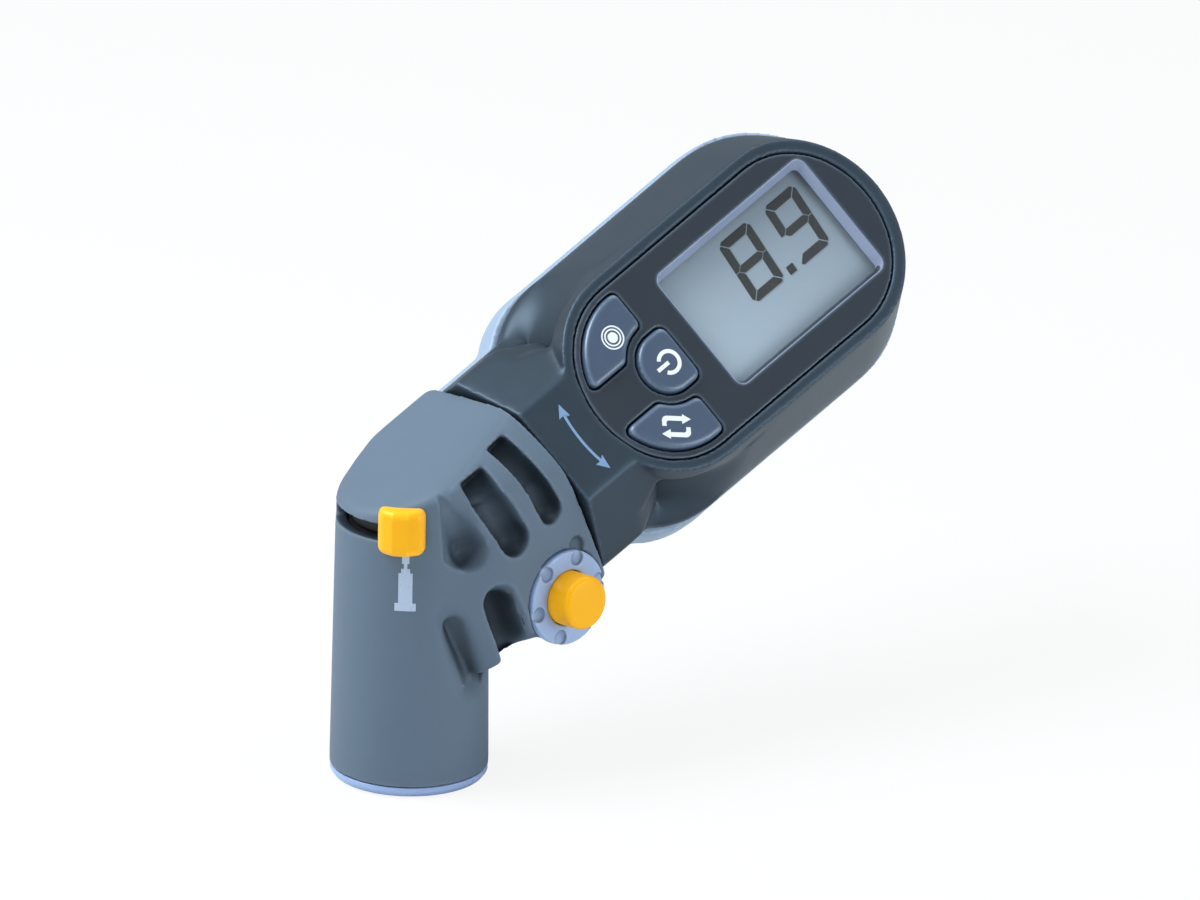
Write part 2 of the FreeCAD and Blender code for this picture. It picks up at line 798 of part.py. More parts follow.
def spindle_o_rings():
    section = ring_groove_depth / 2 + seat_clearance / 2
    rings = []
    for start in ring_starts():
        centre = Vector(start + ring_groove_width / 2, 0, 0)
        rings.append(Part.makeTorus(spindle_radius - ring_groove_depth / 2, section - seat_clearance,
                                    centre, Vector(1, 0, 0)))
    return placed(Part.makeCompound(rings), gauge_frame)


def spindle_clip():
    ring = rod(clip_radius, clip_start + seat_clearance, clip_start + clip_width - seat_clearance)
    ring = ring.cut(rod(spindle_radius - clip_groove_depth + seat_clearance, 0, big))
    mouth = block(0, big, -spindle_radius / 2, spindle_radius / 2, -big, 0)
    return placed(ring.cut(mouth), gauge_frame)


def swivel_bush():
    bush = rod(bush_radius - seat_clearance, bush_start, bush_end)
    return placed(bush.cut(rod(spindle_radius + running_clearance, 0, big)), swivel_frame)


def swivel_washer():
    start = rim_distance + (swivel_gap - washer_thickness) / 2
    washer = rod(washer_radius, start, start + washer_thickness)
    return placed(washer.cut(rod(spindle_radius + running_clearance, 0, big)), swivel_frame)


# Bleed valve
skirt_floor = collar_proud - collar_thickness - collar_skirt
flange_stop = skirt_floor + collar_skirt - bleed_flange
button_floor = flange_stop - part_gap - bleed_flange
seat_top = skirt_floor - part_gap / 3
seat_floor = seat_top - bleed_seat_thickness
chamber_floor = -(boss_depth - shell_wall)


def bleed_collar():
    plate = disc(collar_radius, collar_proud - collar_thickness, collar_proud)
    plate = round_edges(plate, collar_thickness / 4, lambda edge: edge.BoundBox.ZMin > collar_proud - 1e-6)
    skirt = disc(collar_skirt_radius, skirt_floor, collar_proud - collar_thickness)
    collar = fuse_all([plate, skirt])
    collar = collar.cut(disc(bleed_button_radius + part_gap / 2, flange_stop - cut_overlap, big))
    collar = collar.cut(disc(bleed_flange_radius + part_gap / 2, skirt_floor, flange_stop))
    dimple_floor = collar_proud - collar_dimple_depth
    for index in range(collar_dimples):
        spot = direction(collar_dimple_phase + index * 360 / collar_dimples) * collar_dimple_circle
        collar = collar.cut(disc(collar_dimple_radius, dimple_floor, big, spot.x, spot.y))
    return placed(collar, bleed_frame)


def bleed_button():
    cap = disc(bleed_button_radius, button_floor, collar_proud + bleed_button_proud)
    top = collar_proud + bleed_button_proud
    cap = round_edges(cap, bleed_button_rounding, lambda edge: edge.BoundBox.ZMin > top - 1e-6)
    flange = disc(bleed_flange_radius, button_floor, button_floor + bleed_flange)
    return placed(fuse_all([cap, flange]), bleed_frame)


seal_top = seat_floor - part_gap
stem_foot_top = seal_top - bleed_seal_thickness
stem_foot_floor = stem_foot_top - bleed_seal_thickness


def bleed_stem():
    stem = disc(bleed_stem_radius, stem_foot_top, button_floor)
    foot = disc(bleed_seal_radius, stem_foot_floor, stem_foot_top)
    return placed(fuse_all([stem, foot]), bleed_frame)


def bleed_seal():
    seal = disc(bleed_seal_radius, stem_foot_top, seal_top)
    return placed(seal.cut(disc(bleed_stem_radius + seat_clearance, -big, 0)), bleed_frame)


def bleed_seat():
    seat = disc(collar_skirt_radius - seat_clearance, seat_floor, seat_top)
    return placed(seat.cut(disc(bleed_stem_radius + part_gap, -big, 0)), bleed_frame)


def bleed_spring():
    height = stem_foot_floor - bleed_travel - chamber_floor - 2 * bleed_spring_wire - part_gap / 2
    helix = Part.makeHelix(height / bleed_spring_turns, height, bleed_spring_radius)
    start = Vector(bleed_spring_radius, 0, 0)
    profile = Part.Wire(Part.makeCircle(bleed_spring_wire, start, Vector(0, 1, 0)))
    coil = Part.Wire(helix.Edges).makePipeShell([profile], True, True)
    coil.translate(Vector(0, 0, chamber_floor + bleed_spring_wire + part_gap / 4))
    return placed(coil, bleed_frame)


# Gauge body: shells
def screw_spots():
    return [(x, side * half) for x, half in ((screw_near, screw_near_half), (screw_far, screw_far_half))
            for side in (-1, 1)]


def front_form():
    wide = Part.makeLoft([flank_oval(0, parting_height), panel_oval(bezel_lip, face_height)], True, True)
    neck = neck_prism(0, neck_start, neck_end, parting_height)
    apron = Part.Face(body_outline(flank_half_width, neck_half_width, neck_end, scoop_end, flank_far,
                                   flank_tip_radius, flank_corner_radius, neck_start, parting_height))
    apron = apron.extrude(Vector(0, 0, scoop_floor - parting_height))
    return fuse_all([wide.common(block(-big, 2 * big, -big, big, parting_height, big)), neck, apron])


def display_rectangle(margin, low, high):
    return block(window_near - margin, window_far + margin, window_offset - window_half_width - margin,
                 window_offset + window_half_width + margin, low, high)


def front_shell():
    shell = front_form()
    inner_wide = Part.makeLoft([flank_oval(-shell_wall, parting_height - cut_overlap),
                                panel_oval(bezel_lip - shell_wall, inner_ceiling)], True, True)
    inner_neck = neck_prism(shell_wall, neck_start + shell_wall, neck_end - shell_wall,
                           parting_height - cut_overlap)
    passage = neck_prism(4 * shell_wall, neck_start + shell_wall, scoop_end, parting_height - cut_overlap)
    shell = shell.cut(fuse_all([inner_wide, inner_neck, passage]))
    bosses = []
    for x, y in screw_spots():
        boss = disc(screw_boss_radius, parting_height, inner_ceiling + shell_wall / 2, x, y)
        bosses.append(boss.common(front_form()))
    shell = fuse_all([shell] + bosses)
    recess = oval_slab(0, panel_floor, face_height + cut_overlap)
    opening = oval_slab(-panel_ledge, opening_floor, panel_floor)
    key_side = block(0, window_near - 2 * window_margin, -big, big, opening_floor, panel_floor)
    display_side = display_rectangle(window_margin + part_gap, opening_floor, panel_floor)
    shell = shell.cut(recess)
    shell = shell.cut(opening.common(fuse_all([key_side, display_side])))
    shell = shell.cut(rod(spindle_radius + part_gap, 0, neck_start + shell_wall + cut_overlap))
    for x, y in screw_spots():
        shell = shell.cut(disc(screw_radius + seat_clearance, parting_height - cut_overlap,
                               screw_reach + part_gap, x, y))
    return placed(shell, gauge_frame)


def rear_form(inset):
    wall_floor = parting_height - rear_wall_height
    low = back_plane + inset
    straight = Part.Face(rear_outline(inset, parting_height))
    straight = straight.extrude(Vector(0, 0, wall_floor - parting_height))
    outlines = [rear_outline(inset, wall_floor), rear_outline(inset + rear_inset, low)]
    tapered = Part.makeLoft(outlines, True, True)
    return fuse_all([straight, tapered])


def lug_arms(reach, width, low, high, turn):
    arms = []
    for index in range(battery_lugs):
        arm = block(0, reach, -width / 2, width / 2, low, high)
        arm.rotate(Vector(0, 0, 0), Vector(0, 0, 1), turn + index * 360 / battery_lugs)
        arm.translate(Vector(battery_centre, 0, 0))
        arms.append(arm)
    return arms


def battery_cut():
    # Seat of the battery cover: a groove for its lugs, and the notches through which they come in.
    floor = back_plane - cut_overlap
    groove_floor = cover_top - battery_cover_thickness / 2
    reach = battery_cover_radius + battery_lug_reach + part_gap
    ceiling = cover_top + part_gap / 2
    seat_radius = battery_cover_radius + part_gap / 2
    notches = lug_arms(reach, battery_lug_width + 2 * part_gap, floor, ceiling, -battery_cover_turn)
    limit = disc(reach, floor, ceiling, battery_centre)
    return fuse_all([fuse_all(notches).common(limit),
                     disc(seat_radius, floor, cover_top + 2 * part_gap, battery_centre),
                     disc(reach, groove_floor - part_gap / 2, ceiling, battery_centre),
                     disc(battery_radius + part_gap, floor, big / 2, battery_centre)])


def rear_cover():
    cover = rear_form(0)
    hollow = rear_form(shell_wall).common(block(neck_start + shell_wall, 2 * big, -big, big, -big, big))
    hollow_top = Part.Face(rear_outline(shell_wall, parting_height, neck_start + shell_wall))
    hollow = fuse_all([hollow, hollow_top.extrude(Vector(0, 0, cut_overlap))])
    cup_radius = battery_cover_radius + 2 * battery_lug_reach + shell_wall
    cup = disc(cup_radius, back_plane, battery_top, battery_centre)
    post_radius = screw_head_radius + shell_wall
    bosses = [disc(post_radius, back_plane, parting_height, x, y) for x, y in screw_spots()]
    inner = fuse_all([cup] + bosses).common(rear_form(0))
    cover = fuse_all([cover.cut(hollow), inner])
    cover = cover.cut(battery_cut())
    cover = cover.cut(rod(spindle_radius + part_gap, 0, neck_start + shell_wall + cut_overlap))
    head_seat = back_plane + screw_recess + screw_head_height
    for x, y in screw_spots():
        cover = cover.cut(disc(screw_head_radius + part_gap / 2, back_plane - cut_overlap, head_seat, x, y))
        cover = cover.cut(disc(screw_radius + part_gap / 2, back_plane - cut_overlap, big / 2, x, y))
    return placed(cover, gauge_frame)


def case_screws():
    head_floor = back_plane + screw_recess
    screws = []
    for x, y in screw_spots():
        head = disc(screw_head_radius, head_floor, head_floor + screw_head_height - seat_clearance, x, y)
        shank = disc(screw_radius, head_floor, screw_reach, x, y)
        cross_top = head_floor + screw_head_height / 2
        half = driver_width / 2
        cross = fuse_all([block(x - driver_reach, x + driver_reach, y - half, y + half, head_floor, cross_top),
                          block(x - half, x + half, y - driver_reach, y + driver_reach, head_floor, cross_top)])
        screws.append(fuse_all([head, shank]).cut(cross))
    return placed(Part.makeCompound(screws), gauge_frame)


# Gauge body: panel, display and keys
def upright(edge):
    return edge.BoundBox.ZLength > cut_overlap / 2


def rounded_rectangle(x_low, x_high, y_low, y_high, radius, z):
    plate = block(x_low, x_high, y_low, y_high, z, z + cut_overlap)
    plate = round_edges(plate, radius, upright)
    return min(plate.Faces, key=lambda face: face.CenterOfMass.z).OuterWire


def window_cutter():
    def rectangle(inset, z):
        return rounded_rectangle(window_near + inset, window_far - inset,
                                 window_offset - window_half_width + inset,
                                 window_offset + window_half_width - inset, window_corner - inset / 2, z)
    return Part.makeLoft([rectangle(window_bevel, panel_floor), rectangle(0, panel_top)], True, True)


def fascia_panel():
    panel = oval_slab(-panel_gap, panel_floor, panel_top)
    panel = panel.cut(window_cutter())
    for outline in (power_outline, tune_outline, unit_outline):
        hole = Part.Face(outline(key_clearance, panel_floor - cut_overlap))
        panel = panel.cut(hole.extrude(Vector(0, 0, big)))
    return placed(panel, gauge_frame)


def display_lens():
    plate = display_rectangle(window_margin, lens_floor, lens_top)
    return placed(plate.common(oval_slab(-panel_ledge - part_gap, lens_floor, lens_top)), gauge_frame)


def display_glass():
    plate = display_rectangle(window_margin - frame_wall, glass_floor, glass_top)
    return placed(plate.common(oval_slab(-panel_ledge - frame_wall, glass_floor, glass_top)), gauge_frame)


def display_frame():
    outer = display_rectangle(window_margin, board_top, glass_top)
    outer = outer.common(oval_slab(-panel_ledge - part_gap, board_top, glass_top))
    inner = display_rectangle(window_margin - frame_wall + seat_clearance, board_top, glass_top)
    inner = inner.common(oval_slab(-panel_ledge - frame_wall + seat_clearance, board_top, glass_top))
    return placed(outer.cut(inner), gauge_frame)


def zebra_strips():
    edge = window_half_width - zebra_width
    strips = []
    for side in (-1, 1):
        y = window_offset + side * edge
        strips.append(block(window_near + zebra_inset, window_far - zebra_inset,
                            y - zebra_width / 2, y + zebra_width / 2,
                            board_top, glass_floor))
    return placed(Part.makeCompound(strips), gauge_frame)


def circuit_board():
    board = oval_slab(-board_inset, board_floor, board_top)
    for x, y in screw_spots():
        board = board.cut(disc(screw_boss_radius + part_gap, board_floor, board_top, x, y))
    return placed(board, gauge_frame)


def power_outline(offset, z):
    near = power_key_near - offset
    far = power_key_far + offset
    half = power_key_half_width + offset
    corner = power_key_corner + offset
    round_x = near + half
    points = [Vector(far - corner, half, z), Vector(round_x, half, z)]
    turn = math.sqrt(0.5)
    edges = [
        Part.LineSegment(points[0], points[1]),
        Part.Arc(points[1], Vector(near, 0, z), Vector(round_x, -half, z)),
        Part.LineSegment(Vector(round_x, -half, z), Vector(far - corner, -half, z)),
        Part.Arc(Vector(far - corner, -half, z),
                 Vector(far - corner + corner * turn, -half + corner - corner * turn, z),
                 Vector(far, -half + corner, z)),
        Part.LineSegment(Vector(far, -half + corner, z), Vector(far, half - corner, z)),
        Part.Arc(Vector(far, half - corner, z),
                 Vector(far - corner + corner * turn, half - corner + corner * turn, z), points[0])]
    return Part.Wire([edge.toShape() for edge in edges])


def side_key_outline(offset, z, side):
    # A crescent between the panel's edge and the power key, with rounded corners.
    outer = oval_slab(offset - side_key_inset, z, z + cut_overlap)
    centre = power_key_near + power_key_half_width
    inner = disc(side_key_inner - offset, z, z + cut_overlap, centre)
    limit = block(0, side_key_far + offset, side_key_near_half - offset, big, z, z + cut_overlap)
    if side < 0:
        limit = block(0, side_key_far + offset, -big, offset - side_key_near_half, z, z + cut_overlap)
    crescent = outer.common(limit).cut(inner)
    crescent = round_edges(crescent, side_key_corner + offset / 2, sharp_corner)
    return min(crescent.Faces, key=lambda face: face.CenterOfMass.z).OuterWire


def sharp_corner(edge):
    x = edge.BoundBox.XMin
    y = abs(edge.BoundBox.YMin)
    near_cut = x > side_key_far - side_key_corner or y < side_key_near_half + side_key_corner
    return upright(edge) and near_cut


def tune_outline(offset, z):
    return side_key_outline(offset, z, 1)


def unit_outline(offset, z):
    return side_key_outline(offset, z, -1)


def key(outline):
    top = panel_top + key_proud
    cap = Part.Face(outline(0, flange_floor)).extrude(Vector(0, 0, top - flange_floor))
    cap = round_edges(cap, key_rounding, lambda edge: edge.BoundBox.ZMin > top - 1e-6)
    flange = Part.Face(outline(key_flange, flange_floor)).extrude(Vector(0, 0, flange_top - flange_floor))
    flange = flange.common(oval_slab(-panel_ledge - part_gap, flange_floor, flange_top))
    return placed(fuse_all([cap, flange]), gauge_frame)


def keypad_mat():
    mat = oval_slab(-board_inset, board_top, mat_top)
    mat = mat.common(block(0, window_near - 2 * window_margin - part_gap, -big, big, board_top, mat_top))
    for x, y in dome_spots():
        mat = mat.cut(disc(dome_radius + mat_pocket, board_top, board_top + dome_height + mat_pocket, x, y))
    return placed(mat, gauge_frame)


def dome_spots():
    return ((power_key_near + power_key_half_width, 0), (power_key_near, dome_offset),
            (power_key_near, -dome_offset))


def dome_switches():
    domes = [disc(dome_radius, board_top, board_top + dome_height, x, y) for x, y in dome_spots()]
    return placed(Part.makeCompound(domes), gauge_frame)


# Gauge body: battery, sensor
def battery():
    return placed(disc(battery_radius, battery_floor, battery_top, battery_centre), gauge_frame)


def battery_contacts():
    centre_strip = block(battery_centre - contact_width / 2, battery_centre + contact_width / 2,
                         -contact_width, contact_width, battery_top, battery_top + contact_thickness)
    centre_post = block(battery_centre - contact_width / 2, battery_centre + contact_width / 2,
                        contact_width - contact_thickness, contact_width, battery_top, board_floor)
    side_x = battery_centre + battery_radius - contact_width
    side_strip = block(side_x, side_x + contact_width, -contact_width / 2, contact_width / 2,
                       battery_top, battery_top + contact_thickness)
    side_post = block(side_x + contact_width - contact_thickness, side_x + contact_width,
                      -contact_width / 2, contact_width / 2, battery_top, board_floor)
    contacts = [fuse_all([centre_strip, centre_post]), fuse_all([side_strip, side_post])]
    return placed(Part.makeCompound(contacts), gauge_frame)


def battery_cover():
    cover = disc(battery_cover_radius, back_plane, cover_top, battery_centre)
    groove_floor = cover_top - battery_cover_thickness / 2
    reach = battery_cover_radius + battery_lug_reach
    lugs = lug_arms(reach, battery_lug_width, groove_floor, cover_top, 0)
    limit = disc(reach, back_plane, cover_top, battery_centre)
    cover = fuse_all([cover] + lugs).common(limit)
    slot_top = back_plane + battery_slot_depth
    coin_slot = block(battery_centre - battery_slot_length / 2, battery_centre + battery_slot_length / 2,
                      -battery_slot_width / 2, battery_slot_width / 2, back_plane, slot_top)
    return placed(cover.cut(coin_slot), gauge_frame)


def battery_seal():
    ring = Part.makeTorus(battery_cover_radius - 2 * battery_seal_wire, battery_seal_wire / 2,
                          Vector(battery_centre, 0, cover_top + battery_seal_wire / 2))
    return placed(ring, gauge_frame)


sensor_start = neck_start + shell_wall + spindle_flange + sensor_tube_length


def sensor_tube():
    start = neck_start + shell_wall + spindle_flange
    tube = rod(sensor_tube_radius, start, sensor_start)
    return placed(tube.cut(rod(spindle_bore_radius, 0, big)), gauge_frame)


def pressure_sensor():
    can = rod(sensor_radius, sensor_start, sensor_start + sensor_length)
    return placed(can.cut(rod(spindle_bore_radius, 0, sensor_start + sensor_length / 2)), gauge_frame)


def sensor_lead_set():
    x = sensor_start + sensor_length - cut_overlap
    leads = []
    for index in range(sensor_leads):
        y = (index - (sensor_leads - 1) / 2) * sensor_lead_pitch
        foot = math.sqrt(sensor_radius ** 2 - y ** 2)
        leads.append(disc(sensor_lead_radius, foot + seat_clearance, board_floor, x, y))
    return placed(Part.makeCompound(leads), gauge_frame)


def build():
    return {
        "head_shell": head_shell(),
        "chuck_ring": chuck_ring(),
        "chuck_seal": chuck_seal(),
        "clamp_sleeve": clamp_sleeve(),
        "cam_ring": cam_ring(),
        "lock_lever": lock_lever(),
        "head_manifold": head_manifold(),
        "depressor_pin": depressor_pin(),
        "swivel_bush": swivel_bush(),
        "swivel_washer": swivel_washer(),
        "bleed_collar": bleed_collar(),
        "bleed_button": bleed_button(),
        "bleed_stem": bleed_stem(),
        "bleed_seal": bleed_seal(),
        "bleed_seat": bleed_seat(),
        "bleed_spring": bleed_spring(),
        "swivel_spindle": swivel_spindle(),
        "spindle_o_rings": spindle_o_rings(),
        "spindle_clip": spindle_clip(),
        "front_shell": front_shell(),
        "rear_cover": rear_cover(),
        "case_screws": case_screws(),
        "fascia_panel": fascia_panel(),
        "display_lens": display_lens(),
        "display_glass": display_glass(),
        "display_frame": display_frame(),
        "zebra_strips": zebra_strips(),
        "circuit_board": circuit_board(),
        "power_key": key(power_outline),
        "tune_key": key(tune_outline),
        "unit_key": key(unit_outline),
        "keypad_mat": keypad_mat(),
        "dome_switches": dome_switches(),
        "battery": battery(),
        "battery_contacts": battery_contacts(),
        "battery_cover": battery_cover(),
        "battery_seal": battery_seal(),
        "sensor_tube": sensor_tube(),
        "pressure_sensor": pressure_sensor(),
        "sensor_lead_set": sensor_lead_set(),
    }


os.makedirs("parts", exist_ok=True)
for name, shape in build().items():
    print(name, "solids", len(shape.Solids), "valid", shape.isValid(), "volume", round(shape.Volume, 2))
    shape.exportStep("parts/" + name + ".step")
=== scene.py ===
import json
import math
import bpy
import bmesh
import numpy as np
from mathutils import Matrix, Vector


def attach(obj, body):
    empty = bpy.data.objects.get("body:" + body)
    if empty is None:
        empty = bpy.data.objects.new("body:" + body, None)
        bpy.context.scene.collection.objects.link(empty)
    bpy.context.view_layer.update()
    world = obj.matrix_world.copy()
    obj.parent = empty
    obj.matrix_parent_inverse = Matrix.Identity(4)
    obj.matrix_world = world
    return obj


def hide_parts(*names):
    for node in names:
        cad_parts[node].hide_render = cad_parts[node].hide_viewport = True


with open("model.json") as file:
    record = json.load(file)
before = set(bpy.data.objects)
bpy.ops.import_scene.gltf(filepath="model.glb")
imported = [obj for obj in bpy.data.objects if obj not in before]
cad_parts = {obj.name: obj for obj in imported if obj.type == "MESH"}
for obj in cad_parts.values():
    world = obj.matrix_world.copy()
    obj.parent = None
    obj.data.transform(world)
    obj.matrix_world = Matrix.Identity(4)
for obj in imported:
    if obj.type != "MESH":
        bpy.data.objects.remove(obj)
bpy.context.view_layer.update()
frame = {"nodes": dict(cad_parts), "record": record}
print("frame loaded:", len(frame["nodes"]), "solids")

# where the swivel sits, as in the solids; sizes here are millimetres, and over 1000 they are Blender's metres
layout = {"elbowAngle": 68.0, "elbowHeight": 31.0, "turnAngle": 38.0, "sideFacet": 4.0,
          "sideFacetOut": 14.6, "bleedAlong": 14.4, "bleedBelow": 10.95}

tilt = math.radians(layout["elbowAngle"])
elbow = Vector((0, 0, layout["elbowHeight"]))
swivelX = Vector((math.sin(tilt), 0, math.cos(tilt)))
swivelY = Vector((0, 1, 0))
swivelZ = swivelX.cross(swivelY)


def faceAxes(degrees):
    # a face turned by an angle round the swivel: the way up along it, and the way straight out of it
    angle = math.radians(degrees)
    return (swivelY * math.sin(angle) + swivelZ * math.cos(angle),
            swivelY * -math.cos(angle) + swivelZ * math.sin(angle))


gaugeY, gaugeZ = faceAxes(layout["turnAngle"])
bleedY, bleedZ = faceAxes(layout["sideFacet"])
bleedSpot = (elbow + swivelX * layout["bleedAlong"] + bleedZ * layout["sideFacetOut"]
             - bleedY * layout["bleedBelow"])


def onGauge(x, y, z):
    return (elbow + swivelX * x + gaugeY * y + gaugeZ * z) / 1000


def onSwivel(x, y, z):
    return (elbow + swivelX * x + swivelY * y + swivelZ * z) / 1000


def onBleed(x, y, z):
    return (bleedSpot + swivelX * x + bleedY * y + bleedZ * z) / 1000


def onChuck(x, y, z):
    return Vector((x, y, z)) / 1000


# a socket that takes part in sums, so that a material reads as an expression
class Wire:
    def __init__(self, tree, socket):
        self.tree = tree
        self.socket = socket

    def maths(self, operation, first, second):
        node = self.tree.nodes.new("ShaderNodeMath")
        node.operation = operation
        for place, value in enumerate((first, second)):
            if isinstance(value, Wire):
                self.tree.links.new(value.socket, node.inputs[place])
            else:
                node.inputs[place].default_value = value
        return Wire(self.tree, node.outputs[0])

    def __add__(self, other):
        return self.maths("ADD", self, other)

    def __radd__(self, other):
        return self.maths("ADD", other, self)

    def __sub__(self, other):
        return self.maths("SUBTRACT", self, other)

    def __rsub__(self, other):
        return self.maths("SUBTRACT", other, self)

    def __mul__(self, other):
        return self.maths("MULTIPLY", self, other)

    def __truediv__(self, other):
        return self.maths("DIVIDE", self, other)

    def clamped(self):
        lifted = self.maths("MAXIMUM", self, 0.0)
        return lifted.maths("MINIMUM", lifted, 1.0)


def withAlpha(value):
    # a colour of three numbers gets its fourth, and anything else stays
    return (*value, 1) if isinstance(value, tuple) and len(value) == 3 else value


def spaced(key):
    # baseColor becomes Base Color, and ior becomes IOR
    words = "".join(" " + letter if letter.isupper() else letter for letter in key).title()
    return words.replace("Ior", "IOR")


# the node tree of its owner, which is a material or the world
class Finish:
    def __init__(self, owner):
        owner.use_nodes = True
        self.owner = owner
        self.tree = owner.node_tree
        self.tree.nodes.clear()
        self.spot = self.add("ShaderNodeTexCoord", out="Object")

    def add(self, kind, inputs=None, out=0, **settings):
        node = self.tree.nodes.new(kind)
        for key, value in settings.items():
            setattr(node, key, value)
        for key, value in (inputs or {}).items():
            if isinstance(value, Wire):
                self.tree.links.new(value.socket, node.inputs[key])
            else:
                node.inputs[key].default_value = value
        return Wire(self.tree, node.outputs[out])

    def noise(self, size, detail=2.0, rough=0.5):
        # size is the width of one blotch or grain
        return self.add("ShaderNodeTexNoise",
                        {"Vector": self.spot, "Scale": 1000 / size, "Detail": detail, "Roughness": rough})

    def blend(self, factor, first, second):
        # a colour mix has its factor at socket 0, its two colours at 6 and 7, and its result at 2
        inputs = {0: factor, 6: withAlpha(first), 7: withAlpha(second)}
        return self.add("ShaderNodeMix", inputs, 2, data_type="RGBA")

    def bump(self, height, depth):
        return self.add("ShaderNodeBump", {"Height": height, "Distance": depth / 1000, "Strength": 1.0})

    def ray(self, kind):
        return self.add("ShaderNodeLightPath", out="Is " + kind + " Ray")

    def seen(self):
        # 1 for what the camera sees, straight or through the lens, and 0 for light that falls on the object
        return (self.ray("Camera") + self.ray("Transmission")).clamped()

    def ended(self, shader, kind="ShaderNodeOutputMaterial"):
        end = self.tree.nodes.new(kind)
        self.tree.links.new(shader.socket, end.inputs["Surface"])

    def surface(self, **sockets):
        inputs = {spaced(key): withAlpha(value) for key, value in sockets.items()}
        self.ended(self.add("ShaderNodeBsdfPrincipled", inputs))
        return self.owner


# what a plastic or a metal has where its own entry says nothing else
plainPlastic = {"metallic": 0.0, "tint": (1, 1, 1), "shine": 0.5, "coat": 0.0, "coatRough": 0.3, "rough": 0.5,
                "blotchDetail": 3.0, "blotchSwing": 0.06, "grainRough": 0.6, "grainSwing": 0.1, "samples": 8}
plainMetal = {**plainPlastic, "metallic": 1.0, "blotch": 2.0, "blotchDetail": 2.0, "blotchSwing": 0.0,
              "grainRough": 0.5, "grainSwing": 0.15}


def solidFinish(name, look):
    finish = Finish(bpy.data.materials.new(name))
    blotch = finish.noise(look["blotch"], look["blotchDetail"])
    grain = finish.noise(look["grain"], rough=look["grainRough"])
    colour = finish.blend(blotch, look["dark"], look["light"])
    if "edge" in look:
        # markEdges leaves on each point how sharply the surface bends outwards there
        # sharp outward edges are mixed towards a lighter colour, partly wear and partly a painted highlight
        edge = finish.add("ShaderNodeAttribute", out="Fac", attribute_name="edge")
        colour = finish.blend(edge * look["edge"], colour, look["worn"])
    if "hollow" in look:
        # painted shade: recesses are painted a little darker, towards a dark colour
        # the occlusion is 1 on a free surface and falls towards 0 far into a recess
        unshaded = finish.add("ShaderNodeAmbientOcclusion", {"Distance": look["hollowReach"] / 1000}, "AO",
                              samples=look["samples"], only_local=True)
        colour = finish.blend((1 - unshaded) * look["hollow"], colour, look["deep"])
    rough = look["rough"] + (grain - 0.5) * look["grainSwing"] + (blotch - 0.5) * look["blotchSwing"]
    return finish.surface(baseColor=colour, metallic=look["metallic"], roughness=rough,
                          normal=finish.bump(grain, look["depth"]), specularTint=look["tint"],
                          specularIorLevel=look["shine"], coatWeight=look["coat"],
                          coatRoughness=look["coatRough"])
